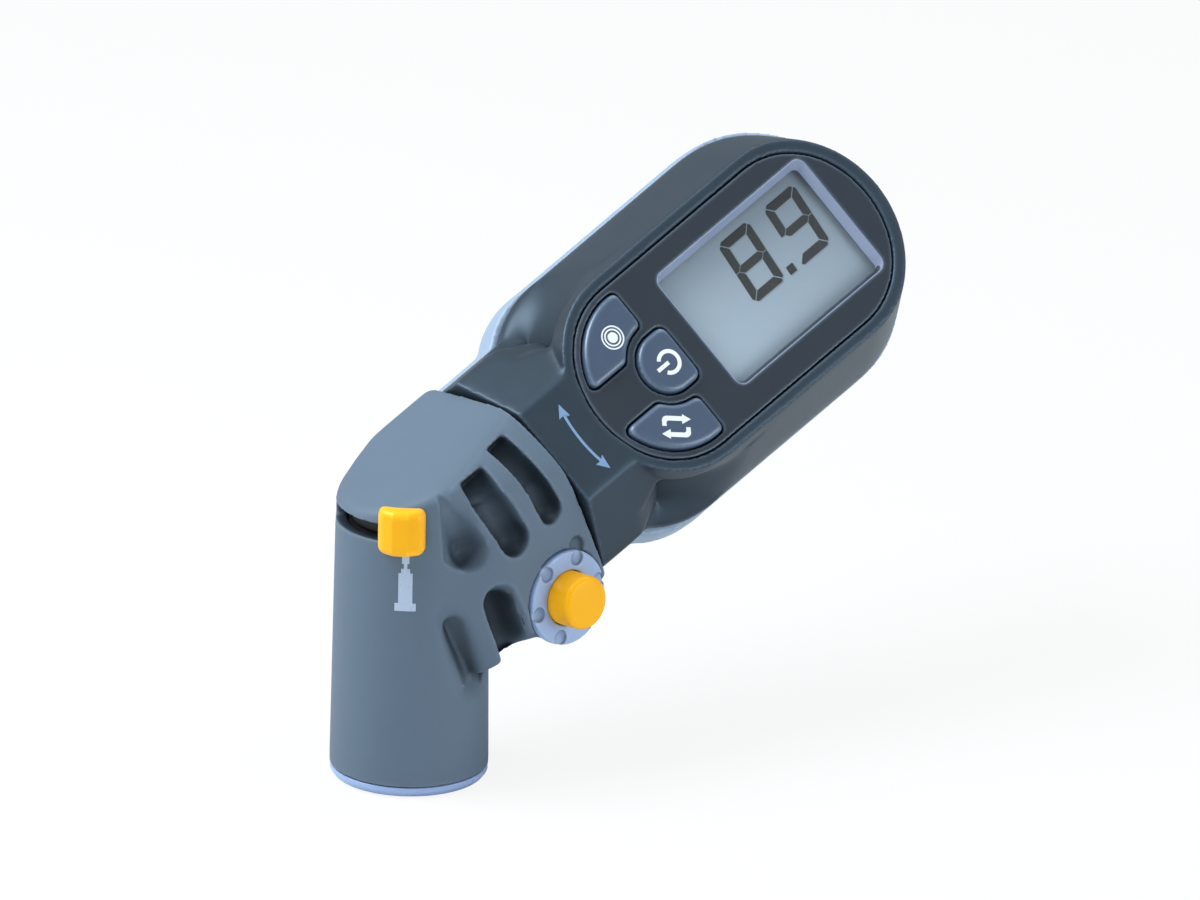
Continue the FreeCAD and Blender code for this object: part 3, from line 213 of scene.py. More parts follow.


# the lighter colour a look gives its sharp outward edges is partly wear and partly a painted highlight
# where a look darkens its recesses, that darkening is painted shade
plastics = {
    "headPlastic": {
        "dark": (0.100, 0.141, 0.190), "light": (0.110, 0.154, 0.208), "worn": (0.24, 0.31, 0.39),
        "edge": 0.5, "blotch": 6.0, "grain": 0.22, "depth": 0.02, "rough": 0.58, "tint": (0.75, 0.88, 1.0),
        "shine": 0.4, "hollow": 2.6, "hollowReach": 5.0, "deep": (0.010, 0.016, 0.024)},
    "shellPlastic": {
        "dark": (0.019, 0.027, 0.037), "light": (0.025, 0.035, 0.047), "worn": (0.13, 0.18, 0.25),
        "edge": 0.55, "blotch": 5.0, "grain": 0.16, "depth": 0.016, "rough": 0.42,
        "tint": (0.55, 0.78, 1.0), "shine": 0.55, "hollow": 0.9, "hollowReach": 4.0,
        "deep": (0.004, 0.006, 0.009)},
    "coverPlastic": {
        "dark": (0.27, 0.37, 0.50), "light": (0.31, 0.41, 0.55), "worn": (0.45, 0.55, 0.66), "edge": 0.4,
        "blotch": 7.0, "grain": 0.25, "depth": 0.014, "rough": 0.42},
    "collarPlastic": {
        "dark": (0.28, 0.39, 0.62), "light": (0.34, 0.45, 0.70), "worn": (0.42, 0.52, 0.68), "edge": 0.5,
        "blotch": 4.0, "grain": 0.2, "depth": 0.008, "rough": 0.33, "tint": (0.7, 0.85, 1.0), "coat": 0.15,
        "coatRough": 0.2, "hollow": 2.4, "hollowReach": 1.3, "deep": (0.05, 0.075, 0.12)},
    "accentPlastic": {
        "dark": (0.97, 0.44, 0.006), "light": (1.0, 0.48, 0.009), "worn": (1.0, 0.66, 0.10), "edge": 0.45,
        "blotch": 4.0, "grain": 0.3, "depth": 0.006, "rough": 0.34, "tint": (1.0, 0.8, 0.4), "shine": 0.4},
    "panelPlastic": {
        "dark": (0.024, 0.031, 0.041), "light": (0.029, 0.037, 0.048), "worn": (0.17, 0.23, 0.31),
        "edge": 0.55, "blotch": 9.0, "grain": 0.10, "depth": 0.004, "rough": 0.30, "tint": (0.8, 0.9, 1.0),
        "shine": 0.45},
    "keyRubber": {
        "dark": (0.046, 0.071, 0.120), "light": (0.055, 0.083, 0.138), "worn": (0.32, 0.42, 0.54),
        "edge": 0.6, "blotch": 2.5, "grain": 0.12, "depth": 0.006, "rough": 0.32, "tint": (0.75, 0.88, 1.0),
        "shine": 0.9},
    "sealRubber": {
        "dark": (0.012, 0.012, 0.013), "light": (0.020, 0.020, 0.021), "blotch": 3.0, "grain": 0.15,
        "depth": 0.01, "rough": 0.6},
    "innerPlastic": {
        "dark": (0.010, 0.010, 0.012), "light": (0.016, 0.016, 0.018), "blotch": 4.0, "grain": 0.2,
        "depth": 0.01},
    "boardLaminate": {
        "dark": (0.012, 0.09, 0.035), "light": (0.02, 0.13, 0.05), "blotch": 1.2, "grain": 0.3,
        "depth": 0.01, "rough": 0.4},
    "segmentInk": {
        "dark": (0.012, 0.012, 0.010), "light": (0.017, 0.017, 0.014), "blotch": 3.0, "grain": 0.2,
        "depth": 0.001, "rough": 0.8, "shine": 0.1},
    "segmentShade": {
        "dark": (0.19, 0.235, 0.275), "light": (0.20, 0.25, 0.29), "blotch": 3.0, "grain": 0.3,
        "depth": 0.001},
    "whiteInk": {
        "dark": (0.80, 0.83, 0.86), "light": (0.86, 0.88, 0.90), "blotch": 1.0, "grain": 0.08,
        "depth": 0.002},
    "blueInk": {
        "dark": (0.17, 0.29, 0.48), "light": (0.21, 0.34, 0.55), "blotch": 1.0, "grain": 0.08,
        "depth": 0.002},
    "greyInk": {
        "dark": (0.34, 0.43, 0.58), "light": (0.50, 0.59, 0.74), "blotch": 0.35, "grain": 0.06,
        "depth": 0.002},
    "windowEdge": {
        "dark": (0.22, 0.27, 0.40), "light": (0.29, 0.35, 0.49), "blotch": 6.0, "grain": 0.3,
        "depth": 0.001, "rough": 0.3},
}
metals = {
    "turnedBrass": {
        "dark": (0.62, 0.45, 0.18), "light": (0.74, 0.56, 0.26), "rough": 0.28, "grain": 0.15,
        "depth": 0.004},
    "satinSteel": {
        "dark": (0.48, 0.49, 0.51), "light": (0.60, 0.61, 0.63), "rough": 0.34, "grain": 0.12,
        "depth": 0.004},
    "springSteel": {
        "dark": (0.60, 0.60, 0.62), "light": (0.72, 0.72, 0.74), "rough": 0.18, "grain": 0.1,
        "depth": 0.002},
}
finishes = {name: solidFinish(name, {**plainPlastic, **look}) for name, look in plastics.items()}
finishes.update({name: solidFinish(name, {**plainMetal, **look}) for name, look in metals.items()})

# the display cell's colour darkens from its near colour to its far colour, which is painted shade
cellLook = {"near": (0.37, 0.465, 0.545), "far": (0.150, 0.190, 0.232), "start": onGauge(60.0, -10.0, 11.0),
            "towards": swivelX * 0.57 + gaugeY * 0.78, "span": 0.036, "rough": 0.4, "grain": 0.3,
            "swing": 0.05, "shine": 0.3}


def shadedCellFinish(name, look):
    # painted shade: the cell is painted darker towards its far corner, standing in for how such a cell looks
    # when it is seen from low down
    finish = Finish(bpy.data.materials.new(name))
    place = finish.add("ShaderNodeVectorMath", {0: finish.spot, 1: tuple(look["towards"])}, "Value",
                       operation="DOT_PRODUCT")
    reach = ((place - look["start"].dot(look["towards"])) / look["span"]).clamped()
    grain = finish.noise(look["grain"])
    return finish.surface(baseColor=finish.blend(reach, look["near"], look["far"]),
                          roughness=look["rough"] + grain * look["swing"], specularIorLevel=look["shine"])


lensLook = {"colour": (0.75, 0.82, 0.90), "alpha": 0.03, "rough": 0.05, "smudge": 9.0, "smudgeDetail": 3.0,
            "swing": 0.05, "shine": 0.35}


def clearFinish(name, look):
    finish = Finish(bpy.data.materials.new(name))
    finish.owner.surface_render_method = "BLENDED"
    smudge = finish.noise(look["smudge"], look["smudgeDetail"])
    return finish.surface(baseColor=look["colour"], roughness=look["rough"] + smudge * look["swing"],
                          alpha=look["alpha"], specularIorLevel=look["shine"])


finishes["displayCell"] = shadedCellFinish("displayCell", cellLook)
finishes["clearLens"] = clearFinish("clearLens", lensLook)
print("finishes made:", len(finishes))


def linked(name, data):
    thing = bpy.data.objects.new(name, data)
    bpy.context.scene.collection.objects.link(thing)
    return thing


def meshFrom(name, verts, faces):
    mesh = bpy.data.meshes.new(name)
    mesh.from_pydata([tuple(v) for v in verts], [], faces)
    mesh.update()
    return mesh


def weld(mesh, outward=True, distance=2e-7):
    # joins points that coincide, and turns the faces outward unless told not to; distance is in metres
    work = bmesh.new()
    work.from_mesh(mesh)
    bmesh.ops.remove_doubles(work, verts=work.verts, dist=distance)
    if outward:
        bmesh.ops.recalc_face_normals(work, faces=work.faces)
    work.to_mesh(mesh)
    work.free()


def solidFrom(name, verts, faces):
    mesh = meshFrom(name, verts, faces)
    weld(mesh)
    return mesh


def newPiece(name, mesh, finish, slot, body, *replaced, smooth=True):
    piece = linked(name, mesh)
    if not mesh.materials:
        mesh.materials.append(finishes[finish])
    if smooth:
        mesh.shade_smooth()
    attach(piece, body)
    if replaced:
        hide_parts(*replaced)


def evaluated(holder):
    depsgraph = bpy.context.evaluated_depsgraph_get()
    mesh = bpy.data.meshes.new_from_object(holder.evaluated_get(depsgraph))
    bpy.data.objects.remove(holder)
    return mesh


def rowsOf(mesh, key):
    # the mesh's points, which Blender calls co, or their normals, as rows of three
    values = np.empty(len(mesh.vertices) * 3, np.float32)
    mesh.vertices.foreach_get(key, values)
    return values.reshape(-1, 3).astype(np.float64)


def edgeEnds(mesh):
    edges = np.empty(len(mesh.edges) * 2, np.int32)
    mesh.edges.foreach_get("vertices", edges)
    return edges.reshape(-1, 2).T


def setPoints(mesh, points):
    mesh.vertices.foreach_set("co", points.astype(np.float32).ravel())
    mesh.update()


def between(ends, place):
    return ends[0] + (ends[1] - ends[0]) * place


def ramp(value, run):
    # climbs from 0 to 1 over the run, and stays 0 before it and 1 after it
    return np.clip(value / run, 0, 1)


relaxLook = {"share": 0.5, "flatBend": 0.8}


def relax(mesh, rounds, flatRounds, spots):
    # points move halfway to the middle of their neighbours: first all of them, which rounds the edges, then
    # those on the flats, which clears the faint facets there, then those near the spots that are softer
    count = len(mesh.vertices)
    points = rowsOf(mesh, "co")
    first, second = edgeEnds(mesh)
    ends = np.concatenate([first, second])
    others = np.concatenate([second, first])
    shares = np.bincount(ends, minlength=count)[:, None]

    def middles(mine, theirs, parts):
        sums = [np.bincount(mine, weights=points[theirs, axis], minlength=len(parts)) for axis in range(3)]
        return np.stack(sums, 1) / parts

    for step in range(rounds):
        points += relaxLook["share"] * (middles(ends, others, shares) - points)
    if flatRounds:
        setPoints(mesh, points)
        spacing = np.linalg.norm(points[first] - points[second], axis=1).mean()
        pull = middles(ends, others, shares) - points
        # how sharply the surface bends at each point, per millimetre
        bend = np.abs((pull * rowsOf(mesh, "normal")).sum(1)) * 4 / spacing ** 2 / 1000
        calm = relaxLook["share"] * np.exp(-(bend / relaxLook["flatBend"]) ** 2)[:, None]
        for step in range(flatRounds):
            points += calm * (middles(ends, others, shares) - points)
    for centre, radius, times in spots:
        near = np.clip(1 - np.linalg.norm(points - np.array(centre), axis=1) * 1000 / radius, 0, 1)
        chosen = np.flatnonzero(near)
        number = np.full(count, -1)
        number[chosen] = np.arange(len(chosen))
        links = number[ends] >= 0
        mine, theirs = number[ends[links]], others[links]
        share = relaxLook["share"] * (near * np.sqrt(near))[chosen, None]
        for step in range(times):
            points[chosen] += share * (middles(mine, theirs, shares[chosen]) - points[chosen])
    setPoints(mesh, points)


def eased(mesh, look):
    # rounds the long edges between the flats of a block: each point steps back by what a soft corner loses
    points = rowsOf(mesh, "co")
    normals = np.array([normal for normal, spot in look["planes"]])
    heights = np.stack([(points * 1000 - np.array(spot)) @ normal
                        for normal, (_, spot) in zip(normals, look["planes"])], 1)
    top = heights.max(1)
    shares = np.exp((heights - top[:, None]) / look["width"])
    total = shares.sum(1)
    skin = ramp(top + look["depth"], look["fade"])
    along = (points * 1000 - np.array(elbow)) @ np.array(swivelX)
    reach = ramp(along - look["from"], look["run"])
    step = look["width"] * np.log(total) * skin * reach * reach * (3 - 2 * reach)
    lean = (shares / total[:, None]) @ normals
    setPoints(mesh, points - lean * step[:, None] / 1000)


def deepened(mesh, look):
    # presses the recesses of the side a little further in: each has its run on the side, and at the run's two
    # ends half its width and its extra depth; what faces away or lies deeper than the side's skin stays
    points = rowsOf(mesh, "co") * 1000
    outward = np.array(bleedZ)
    facing = rowsOf(mesh, "normal") @ outward
    spot = points - np.array(elbow) - outward * layout["sideFacetOut"]
    along, rise, depth = spot @ np.array(swivelX), spot @ np.array(bleedY), -(spot @ outward)
    for hollow in look["runs"]:
        start, end = np.array(hollow["from"]), np.array(hollow["to"])
        run = end - start
        place = ramp((along - start[0]) * run[0] + (rise - start[1]) * run[1], run @ run)
        away = np.hypot(along - start[0] - run[0] * place, rise - start[1] - run[1] * place)
        share = ramp(away, between(hollow["halves"], place))
        press = between(hollow["depths"], place) * (1 - share ** hollow["shape"]) ** (1 / hollow["shape"])
        press[(facing < look["facing"]) | (depth > look["skin"])] = 0
        points -= outward * press[:, None]
    setPoints(mesh, points / 1000)


def fromOutline(look, x, y):
    # how far each point is beyond the body's widest outline, and the way straight out there; the outline has
    # straight sides, round corners and a rounder tip at each end
    middle = (look["near"] + look["far"]) / 2
    along = np.abs(x - middle)
    across = np.abs(y)
    tipX = (look["far"] - look["near"]) / 2 - look["tipRadius"]
    cornerX = tipX + look["cornerShift"]
    cornerY = look["half"] - look["cornerRadius"]
    fromTip = np.maximum(np.hypot(along - tipX, across), 1e-6)
    fromCorner = np.maximum(np.hypot(along - cornerX, across - cornerY), 1e-6)
    side = along < cornerX
    tip = np.arctan2(across, along - tipX) < math.atan2(cornerY, look["cornerShift"])
    beyond = np.select([side, tip], [across - look["half"], fromTip - look["tipRadius"]],
                       fromCorner - look["cornerRadius"])
    outX = np.select([side, tip], [0 * along, (along - tipX) / fromTip], (along - cornerX) / fromCorner)
    outY = np.select([side, tip], [0 * along + 1, across / fromTip], (across - cornerY) / fromCorner)
    return beyond, outX * np.where(x < middle, -1.0, 1.0), outY * np.sign(y)


def fullFlank(mesh, look):
    # the flank runs in one slope from the bezel to the widest line, and covers the narrow ledge there: the
    # ledge's points take the slope's foot and the wall's points the rest, from where the neck ends
    points = rowsOf(mesh, "co") * 1000
    axes = np.array([swivelX, gaugeY, gaugeZ])
    x, y, z = ((points - np.array(elbow)) @ axes.T).T
    beyond, outX, outY = fromOutline(look, x, y)
    wall = -look["drawn"] * (z - look["seam"]) / (look["face"] - look["seam"])
    ledge = look["drawn"] * (look["widest"] - look["seam"]) / (look["face"] - look["seam"])
    height = look["face"] - look["widest"]
    climb = look["climb"] * ramp(-beyond, ledge)
    climb += np.clip(z - look["widest"], 0, height) * (height - look["climb"]) / height
    outer = ramp(z - look["widest"] + look["below"], look["belowRun"]) * (z < look["face"])
    near = ramp(beyond - wall + look["skin"], look["skinRun"])
    lift = ramp(z - look["rimLow"], look["rimRun"])
    share = near * ramp(x - look["start"] - look["shift"] * lift, look["run"])
    share = outer * share * share * (3 - 2 * share)
    step = share * (-look["drawn"] * climb / height - beyond)
    rise = share * (look["widest"] + climb - z)
    points += (outX * step)[:, None] * axes[0] + (outY * step)[:, None] * axes[1] + rise[:, None] * axes[2]
    setPoints(mesh, points / 1000)


bendLook = {"low": 0.35, "span": 1.4, "rounds": 3}


def markEdges(mesh):
    # keeps on each point how sharply the surface bends outwards there, as a number from 0 to 1 called edge
    count = len(mesh.vertices)
    points = rowsOf(mesh, "co") * 1000
    normals = rowsOf(mesh, "normal")
    first, second = edgeEnds(mesh)

    def gathered(atFirst, atSecond):
        return np.bincount(first, atFirst, count) + np.bincount(second, atSecond, count)

    chord = points[second] - points[first]
    run = (chord ** 2).sum(1)
    rises = gathered((chord * normals[first]).sum(1), (-chord * normals[second]).sum(1))
    bend = -2 * rises / np.maximum(gathered(run, run), 1e-9)
    bend = ramp(bend - bendLook["low"], bendLook["span"])
    shares = np.maximum(gathered(None, None), 1)
    for step in range(bendLook["rounds"]):
        bend = 0.5 * bend + 0.5 * gathered(bend[second], bend[first]) / shares
    mark = mesh.attributes.new("edge", "FLOAT", "POINT")
    mark.data.foreach_set("value", bend.astype(np.float32))


def softened(name, mesh, look):
    # one closed skin over the mesh, with rounded edges; voxel is its grain, and most is the most triangles
    holder = linked(name + "Holder", mesh)
    skin = holder.modifiers.new("skin", "REMESH")
    skin.mode = "VOXEL"
    skin.voxel_size = look["voxel"] / 1000
    result = evaluated(holder)
    result.materials.clear()
    if "flank" in look:
        fullFlank(result, look["flank"])
    if "hollows" in look:
        deepened(result, look["hollows"])
    relax(result, look["rounds"], look.get("flatRounds", 0), look.get("spots", ()))
    if "most" in look and 2 * len(result.polygons) > look["most"]:
        holder = linked(name + "Holder", result)
        thin = holder.modifiers.new("thin", "DECIMATE")
        thin.ratio = look["most"] / (2 * len(result.polygons))
        result = evaluated(holder)
    if "corners" in look:
        eased(result, look["corners"])
    markEdges(result)
    return result


def softNode(node, look):
    source = frame["nodes"][node].data.copy()
    weld(source, outward=False)
    mesh = softened(look["name"], source, look)
    body = next(b for b, members in frame["record"]["behaviour"]["bodies"].items() if node in members)
    newPiece(look["name"], mesh, look["finish"], look["slot"], body, node)
    print("softened", look["name"], len(mesh.polygons), "faces")


def filleted(corners, steps=5):
    # a closed outline from corners (r, z, radius), with an arc at each corner that has a radius
    points = []
    for index, corner in enumerate(corners):
        here = Vector(corner[:2])
        if len(corner) < 3:
            points.append(here)
            continue
        before = (Vector(corners[index - 1][:2]) - here).normalized()
        after = (Vector(corners[(index + 1) % len(corners)][:2]) - here).normalized()
        half = before.angle(after) / 2
        centre = here + (before + after).normalized() * corner[2] / math.sin(half)
        start = here + before * corner[2] / math.tan(half) - centre
        end = here + after * corner[2] / math.tan(half) - centre
        for step in range(steps + 1):
            mixed = start.lerp(end, step / steps)
            points.append(centre + mixed.normalized() * corner[2])
    return points


def turned(outline, place, sides):
    # a ring or disc turned about z from a closed outline of (r, z); all sides share a point on the axis
    verts, faces, rows = [], [], []
    for point in outline:
        if point[0] < 1e-6:
            rows.append([len(verts)] * sides)
            verts.append(place(0, 0, point[1]))
            continue
        rows.append(list(range(len(verts), len(verts) + sides)))
        for side in range(sides):
            angle = 2 * math.pi * side / sides
            verts.append(place(point[0] * math.cos(angle), point[0] * math.sin(angle), point[1]))
    for index, row in enumerate(rows):
        ahead = rows[(index + 1) % len(rows)]
        if row[0] == row[1] and ahead[0] == ahead[1]:
            continue
        for side in range(sides):
            after = (side + 1) % sides
            loop = [row[side], row[after], ahead[after], ahead[side]]
            faces.append([v for k, v in enumerate(loop) if v not in loop[:k]])
    return solidFrom("turned", verts, faces)


def prism(name, outline, low, high, place):
    count = len(outline)
    verts = [place(x, y, z) for z in (low, high) for x, y in outline]
    faces = [list(range(count))[::-1], list(range(count, 2 * count))]
    faces += [[i, (i + 1) % count, count + (i + 1) % count, count + i] for i in range(count)]
    return solidFrom(name, verts, faces)


def ontoGauge(mesh, x, z):
    # a mesh made in millimetres at the origin goes to its place on the gauge
    for vertex in mesh.vertices:
        vertex.co = onGauge(x + vertex.co.x, vertex.co.y, vertex.co.z + z)


def printed(name, loops, low, high, ink, slot, body):
    # a flat printed shape from closed outlines; an outline inside another is a hole
    curve = bpy.data.curves.new(name, "CURVE")
    curve.dimensions = "2D"
    curve.fill_mode = "BOTH"
    curve.extrude = (high - low) / 2
    for loop in loops:
        spline = curve.splines.new("POLY")
        spline.points.add(len(loop) - 1)
        spline.points.foreach_set("co", [value for x, y in loop for value in (x, y, 0, 1)])
        spline.use_cyclic_u = True
    mesh = evaluated(linked(name + "Holder", curve))
    ontoGauge(mesh, 0, (low + high) / 2)
    weld(mesh, distance=1e-6)
    mesh.materials.clear()
    newPiece(name, mesh, ink, slot, body, smooth=False)


def circle(x, y, radius, steps=48, start=0.0, sweep=360.0):
    count = steps if sweep == 360.0 else steps + 1
    angles = [math.radians(start + sweep * i / steps) for i in range(count)]
    return [(x + radius * math.cos(angle), y + radius * math.sin(angle)) for angle in angles]


def arcBand(x, y, radius, width, start, sweep, steps=36):
    outer = circle(x, y, radius + width / 2, steps, start, sweep)
    inner = circle(x, y, radius - width / 2, steps, start, sweep)
    return outer + inner[::-1]


def placedLoop(loop, x, y, degrees):
    cos, sin = math.cos(math.radians(degrees)), math.sin(math.radians(degrees))
    return [(x + px * cos - py * sin, y + px * sin + py * cos) for px, py in loop]


# camera and light come first, so that every stage can be looked at; the lamps' places are along the view's
# right, up and back, and what isn't called Mm is in metres
cameraLook = {"right": (0.7219, -0.6919, 0.0125), "up": (0.2366, 0.2638, 0.9351),
              "back": (-0.6503, -0.6721, 0.3541), "acrossMm": 28.13, "upMm": 47.10, "widthMm": 176.47,
              "distance": 0.6, "clipStart": 0.01}
lampLook = {
    "upperLeft": {"from": (-0.62, 0.72, 0.34), "size": 0.34, "power": 3.9},
    "right": {"from": (0.92, -0.05, 0.42), "size": 0.30, "power": 1.5},
    "front": {"from": (-0.40, -0.20, 0.89), "size": 0.40, "power": 0.46},
    "overhead": {"from": (0.35, 0.95, 0.05), "size": 0.40, "power": 0.8},
}
studioLook = {"ambient": 0.26, "mirrored": 0.5, "sky": (0.84, 0.93, 1.0), "lamp": (0.93, 0.97, 1.0),
              "lampDistance": 0.52, "floor": (0.74, 0.75, 0.76), "floorWhite": 0.88, "floorHalf": 3.0,
              "floorHeight": -0.0002}

right, up, back = (Vector(cameraLook[key]).normalized() for key in ("right", "up", "back"))
aim = right * cameraLook["acrossMm"] / 1000 + up * cameraLook["upMm"] / 1000
cameraData = bpy.data.cameras.new("camera")
cameraData.type = "ORTHO"
cameraData.ortho_scale = cameraLook["widthMm"] / 1000
cameraData.clip_start = cameraLook["clipStart"]
camera = linked("camera", cameraData)
viewTurn = Matrix((right, up, back)).transposed().to_4x4()
camera.matrix_world = Matrix.Translation(aim + back * cameraLook["distance"]) @ viewTurn
bpy.context.scene.camera = camera

for name, look in lampLook.items():
    lampData = bpy.data.lights.new(name, "AREA")
    lampData.shape = "SQUARE"
    lampData.size = look["size"]
    lampData.energy = look["power"]
    lampData.color = studioLook["lamp"]
    x, y, z = look["from"]
    away = (right * x + up * y + back * z).normalized()
    lamp = linked(name, lampData)
    lamp.location = aim + away * studioLook["lampDistance"]
    lamp.rotation_euler = away.to_track_quat("Z", "Y").to_euler()


def studio(look):
    # a room that is plain white to the camera, and a dimmer sky to everything that it lights
    sky = Finish(bpy.data.worlds.new("studio"))
    bpy.context.scene.world = sky.owner
    seen = sky.seen()
    ambient = look["ambient"]
    strength = ambient + seen * (1.0 - ambient) + sky.ray("Glossy") * (look["mirrored"] - ambient)
    tint = sky.blend(seen, look["sky"], (1.0, 1.0, 1.0))
    light = sky.add("ShaderNodeBackground", {"Color": tint, "Strength": strength})
    sky.ended(light, "ShaderNodeOutputWorld")

    pale = Finish(bpy.data.materials.new("paleFloor"))
    plain = pale.add("ShaderNodeBsdfDiffuse", {"Color": withAlpha(look["floor"])})
    white = pale.add("ShaderNodeEmission", {"Color": (1, 1, 1, 1), "Strength": 1.0})
    pale.ended(pale.add("ShaderNodeMixShader", {0: pale.seen() * look["floorWhite"], 1: plain, 2: white}))
    half = look["floorHalf"]
    corners = ((-half, -half), (half, -half), (half, half), (-half, half))
    mesh = meshFrom("floor", [(x, y, look["floorHeight"]) for x, y in corners], [(0, 1, 2, 3)])
    mesh.materials.append(pale.owner)
    linked("floor", mesh)


studio(studioLook)
bpy.context.scene.view_settings.view_transform = "Standard"
print("camera and studio ready")

# the solids that keep their own mesh get their finish
carried = {
    "sealRubber": ("chuck_seal", "bleed_seal", "spindle_o_rings", "zebra_strips", "keypad_mat",
                   "battery_seal"),
    "innerPlastic": ("clamp_sleeve", "cam_ring", "head_manifold", "swivel_washer", "display_frame"),
    "turnedBrass": ("depressor_pin", "swivel_bush", "bleed_stem", "bleed_seat", "swivel_spindle",
                    "sensor_tube"),
    "springSteel": ("bleed_spring", "spindle_clip", "dome_switches", "battery_contacts", "sensor_lead_set"),
    "satinSteel": ("case_screws", "battery", "pressure_sensor"),
    "clearLens": ("display_lens",),
    "displayCell": ("display_glass",),
    "boardLaminate": ("circuit_board",),
}
for finish, nodes in carried.items():
    for node in nodes:
        mesh = frame["nodes"][node].data
        mesh.materials.clear()
        mesh.materials.append(finishes[finish])

# the head's three flats: the angle of each round the swivel and its distance out; the middle one also slopes
flats = {"up": 96.0, "upOut": 15.7, "middle": 48.0, "middleOut": 15.3, "slope": 13.0, "slopeAt": 22.5}
upWay, middleWay = (faceAxes(flats[key])[1] for key in ("up", "middle"))
slope = math.radians(flats["slope"])
headCorners = {"planes": ((upWay, elbow + upWay * flats["upOut"]),
                          (bleedZ, elbow + bleedZ * layout["sideFacetOut"]),
                          (middleWay * math.cos(slope) + swivelX * math.sin(slope),
                           elbow + swivelX * flats["slopeAt"] + middleWay * flats["middleOut"])),
               "width": 1.15, "depth": 7.0, "fade": 2.0, "from": 0.5, "run": 7.0}

headHollows = {"facing": 0.05, "skin": 5.0, "runs": (
    {"from": (2.2, 15.4), "to": (2.2, 6.3), "halves": (0.4, 3.3), "depths": (0.5, 1.4), "shape": 2.0},
    {"from": (-4.2, -1.6), "to": (-2.9, -13.5), "halves": (2.2, 4.4), "depths": (0.8, 1.7), "shape": 1.0},
    {"from": (3.9, -4.3), "to": (4.4, -14.5), "halves": (2.4, 2.4), "depths": (1.8, 1.8), "shape": 2.0},
)}

# softer places: where on the swivel or the gauge, how far round it, and how many more rounds
headSpots = (((18.5, -9.2, 11.2), 2.2, 40), ((5.5, -15.5, -12.3), 3.2, 60), ((1.2, -15.4, -10.5), 3.0, 60),
             ((2.9, -12.9, -12.6), 3.2, 60), ((7.2, -13.0, -14.4), 3.2, 60), ((-1.6, -13.0, -13.5), 3.2, 60),
             ((-3.3, -15.4, -11.4), 3.0, 40), ((9.1, 11.9, 14.5), 4.5, 70), ((22.3, 12.8, 14.0), 3.5, 30),
             ((5.4, -11.9, 14.7), 2.6, 120), ((7.6, -10.0, 10.6), 2.6, 120), ((-3.6, -13.5, -6.1), 5.0, 50),
             ((-3.4, -13.2, -10.1), 4.0, 50))
flankSpots = (((36.9, 14.6, 6.8), 5.2, 120), ((37.5, 17.4, 2.6), 5.0, 80), ((41.8, 18.4, 4.4), 7.5, 900),
              ((46.0, 17.6, 8.2), 6.0, 400))

# the body's outline, the heights of its flank, and where and how deep the flank is filled out
flankLook = {"near": 32.8, "far": 98.2, "half": 20.8, "tipRadius": 21.5, "cornerRadius": 19.0,
             "cornerShift": 1.735, "seam": -3.0, "widest": 0.5, "face": 14.0, "drawn": 4.5, "climb": 3.0,
             "start": 31.0, "run": 6.0, "shift": 20.0, "rimLow": 7.5, "rimRun": 3.0, "below": 0.4,
             "belowRun": 0.3, "skin": 1.6, "skinRun": 1.2}

softLooks = {
    "head_shell": {"name": "headShell", "voxel": 0.28, "rounds": 4, "flatRounds": 40, "most": 190000,
                   "spots": [(onSwivel(*spot), radius, times) for spot, radius, times in headSpots],
                   "hollows": headHollows, "corners": headCorners, "finish": "headPlastic",
                   "slot": "head_plastic"},
    "front_shell": {"name": "frontShell", "voxel": 0.30, "rounds": 6, "flatRounds": 40, "most": 190000,
                    "spots": [(onGauge(x, side * y, z), radius, times)
                              for (x, y, z), radius, times in flankSpots for side in (1, -1)],
                    "flank": flankLook, "finish": "shellPlastic", "slot": "shell_plastic"},
    "rear_cover": {"name": "rearCover", "voxel": 0.36, "rounds": 5, "flatRounds": 30, "most": 180000,
                   "finish": "coverPlastic", "slot": "cover_plastic"},
    "fascia_panel": {"name": "fasciaPanel", "voxel": 0.20, "rounds": 3, "flatRounds": 20, "most": 120000,
                     "finish": "panelPlastic", "slot": "panel_plastic"},
    "bleed_collar": {"name": "bleedCollar", "voxel": 0.16, "rounds": 4, "flatRounds": 20,
                     "finish": "collarPlastic", "slot": "cover_plastic"},
    "battery_cover": {"name": "batteryCover", "voxel": 0.25, "rounds": 4, "flatRounds": 20,
                      "finish": "coverPlastic", "slot": "cover_plastic"},
}
for key in ("power", "tune", "unit"):
    softLooks[key + "_key"] = {"name": key + "Key", "voxel": 0.14, "rounds": 70, "finish": "keyRubber",
                               "slot": "key_rubber"}
for node, look in softLooks.items():
    softNode(node, look)


# chuck ring: a turned ring with a sloping outer face and the seat for the seal
ringLook = {"bore": 4.0, "outer": 11.6, "foot": 11.0, "height": 1.5, "slope": 0.75, "skirt": 9.37,
            "skirtTop": 5.5, "seat": 8.1, "lip": 2.4, "chamfer": 0.35, "mouthRound": 0.1, "footRound": 0.35,
            "rimRound": 0.3, "topRound": 0.15, "skirtRound": 0.2, "sides": 128}


def chuckRing(look):
    bore, outer, skirt, seat = look["bore"], look["outer"], look["skirt"], look["seat"]
    outline = filleted([
        (bore + look["chamfer"], 0.0, look["mouthRound"]), (look["foot"], 0.0, look["footRound"]),
        (outer, look["slope"], look["rimRound"]), (outer, look["height"], look["topRound"]),
        (skirt, look["height"]), (skirt, look["skirtTop"], look["skirtRound"]),
        (seat, look["skirtTop"], look["skirtRound"]), (seat, look["lip"]), (bore, look["lip"]),
        (bore, look["chamfer"], look["mouthRound"])])
    newPiece("chuckRing", turned(outline, onChuck, look["sides"]), "collarPlastic", "cover_plastic",
             "valve_head", "chuck_ring")


chuckRing(ringLook)

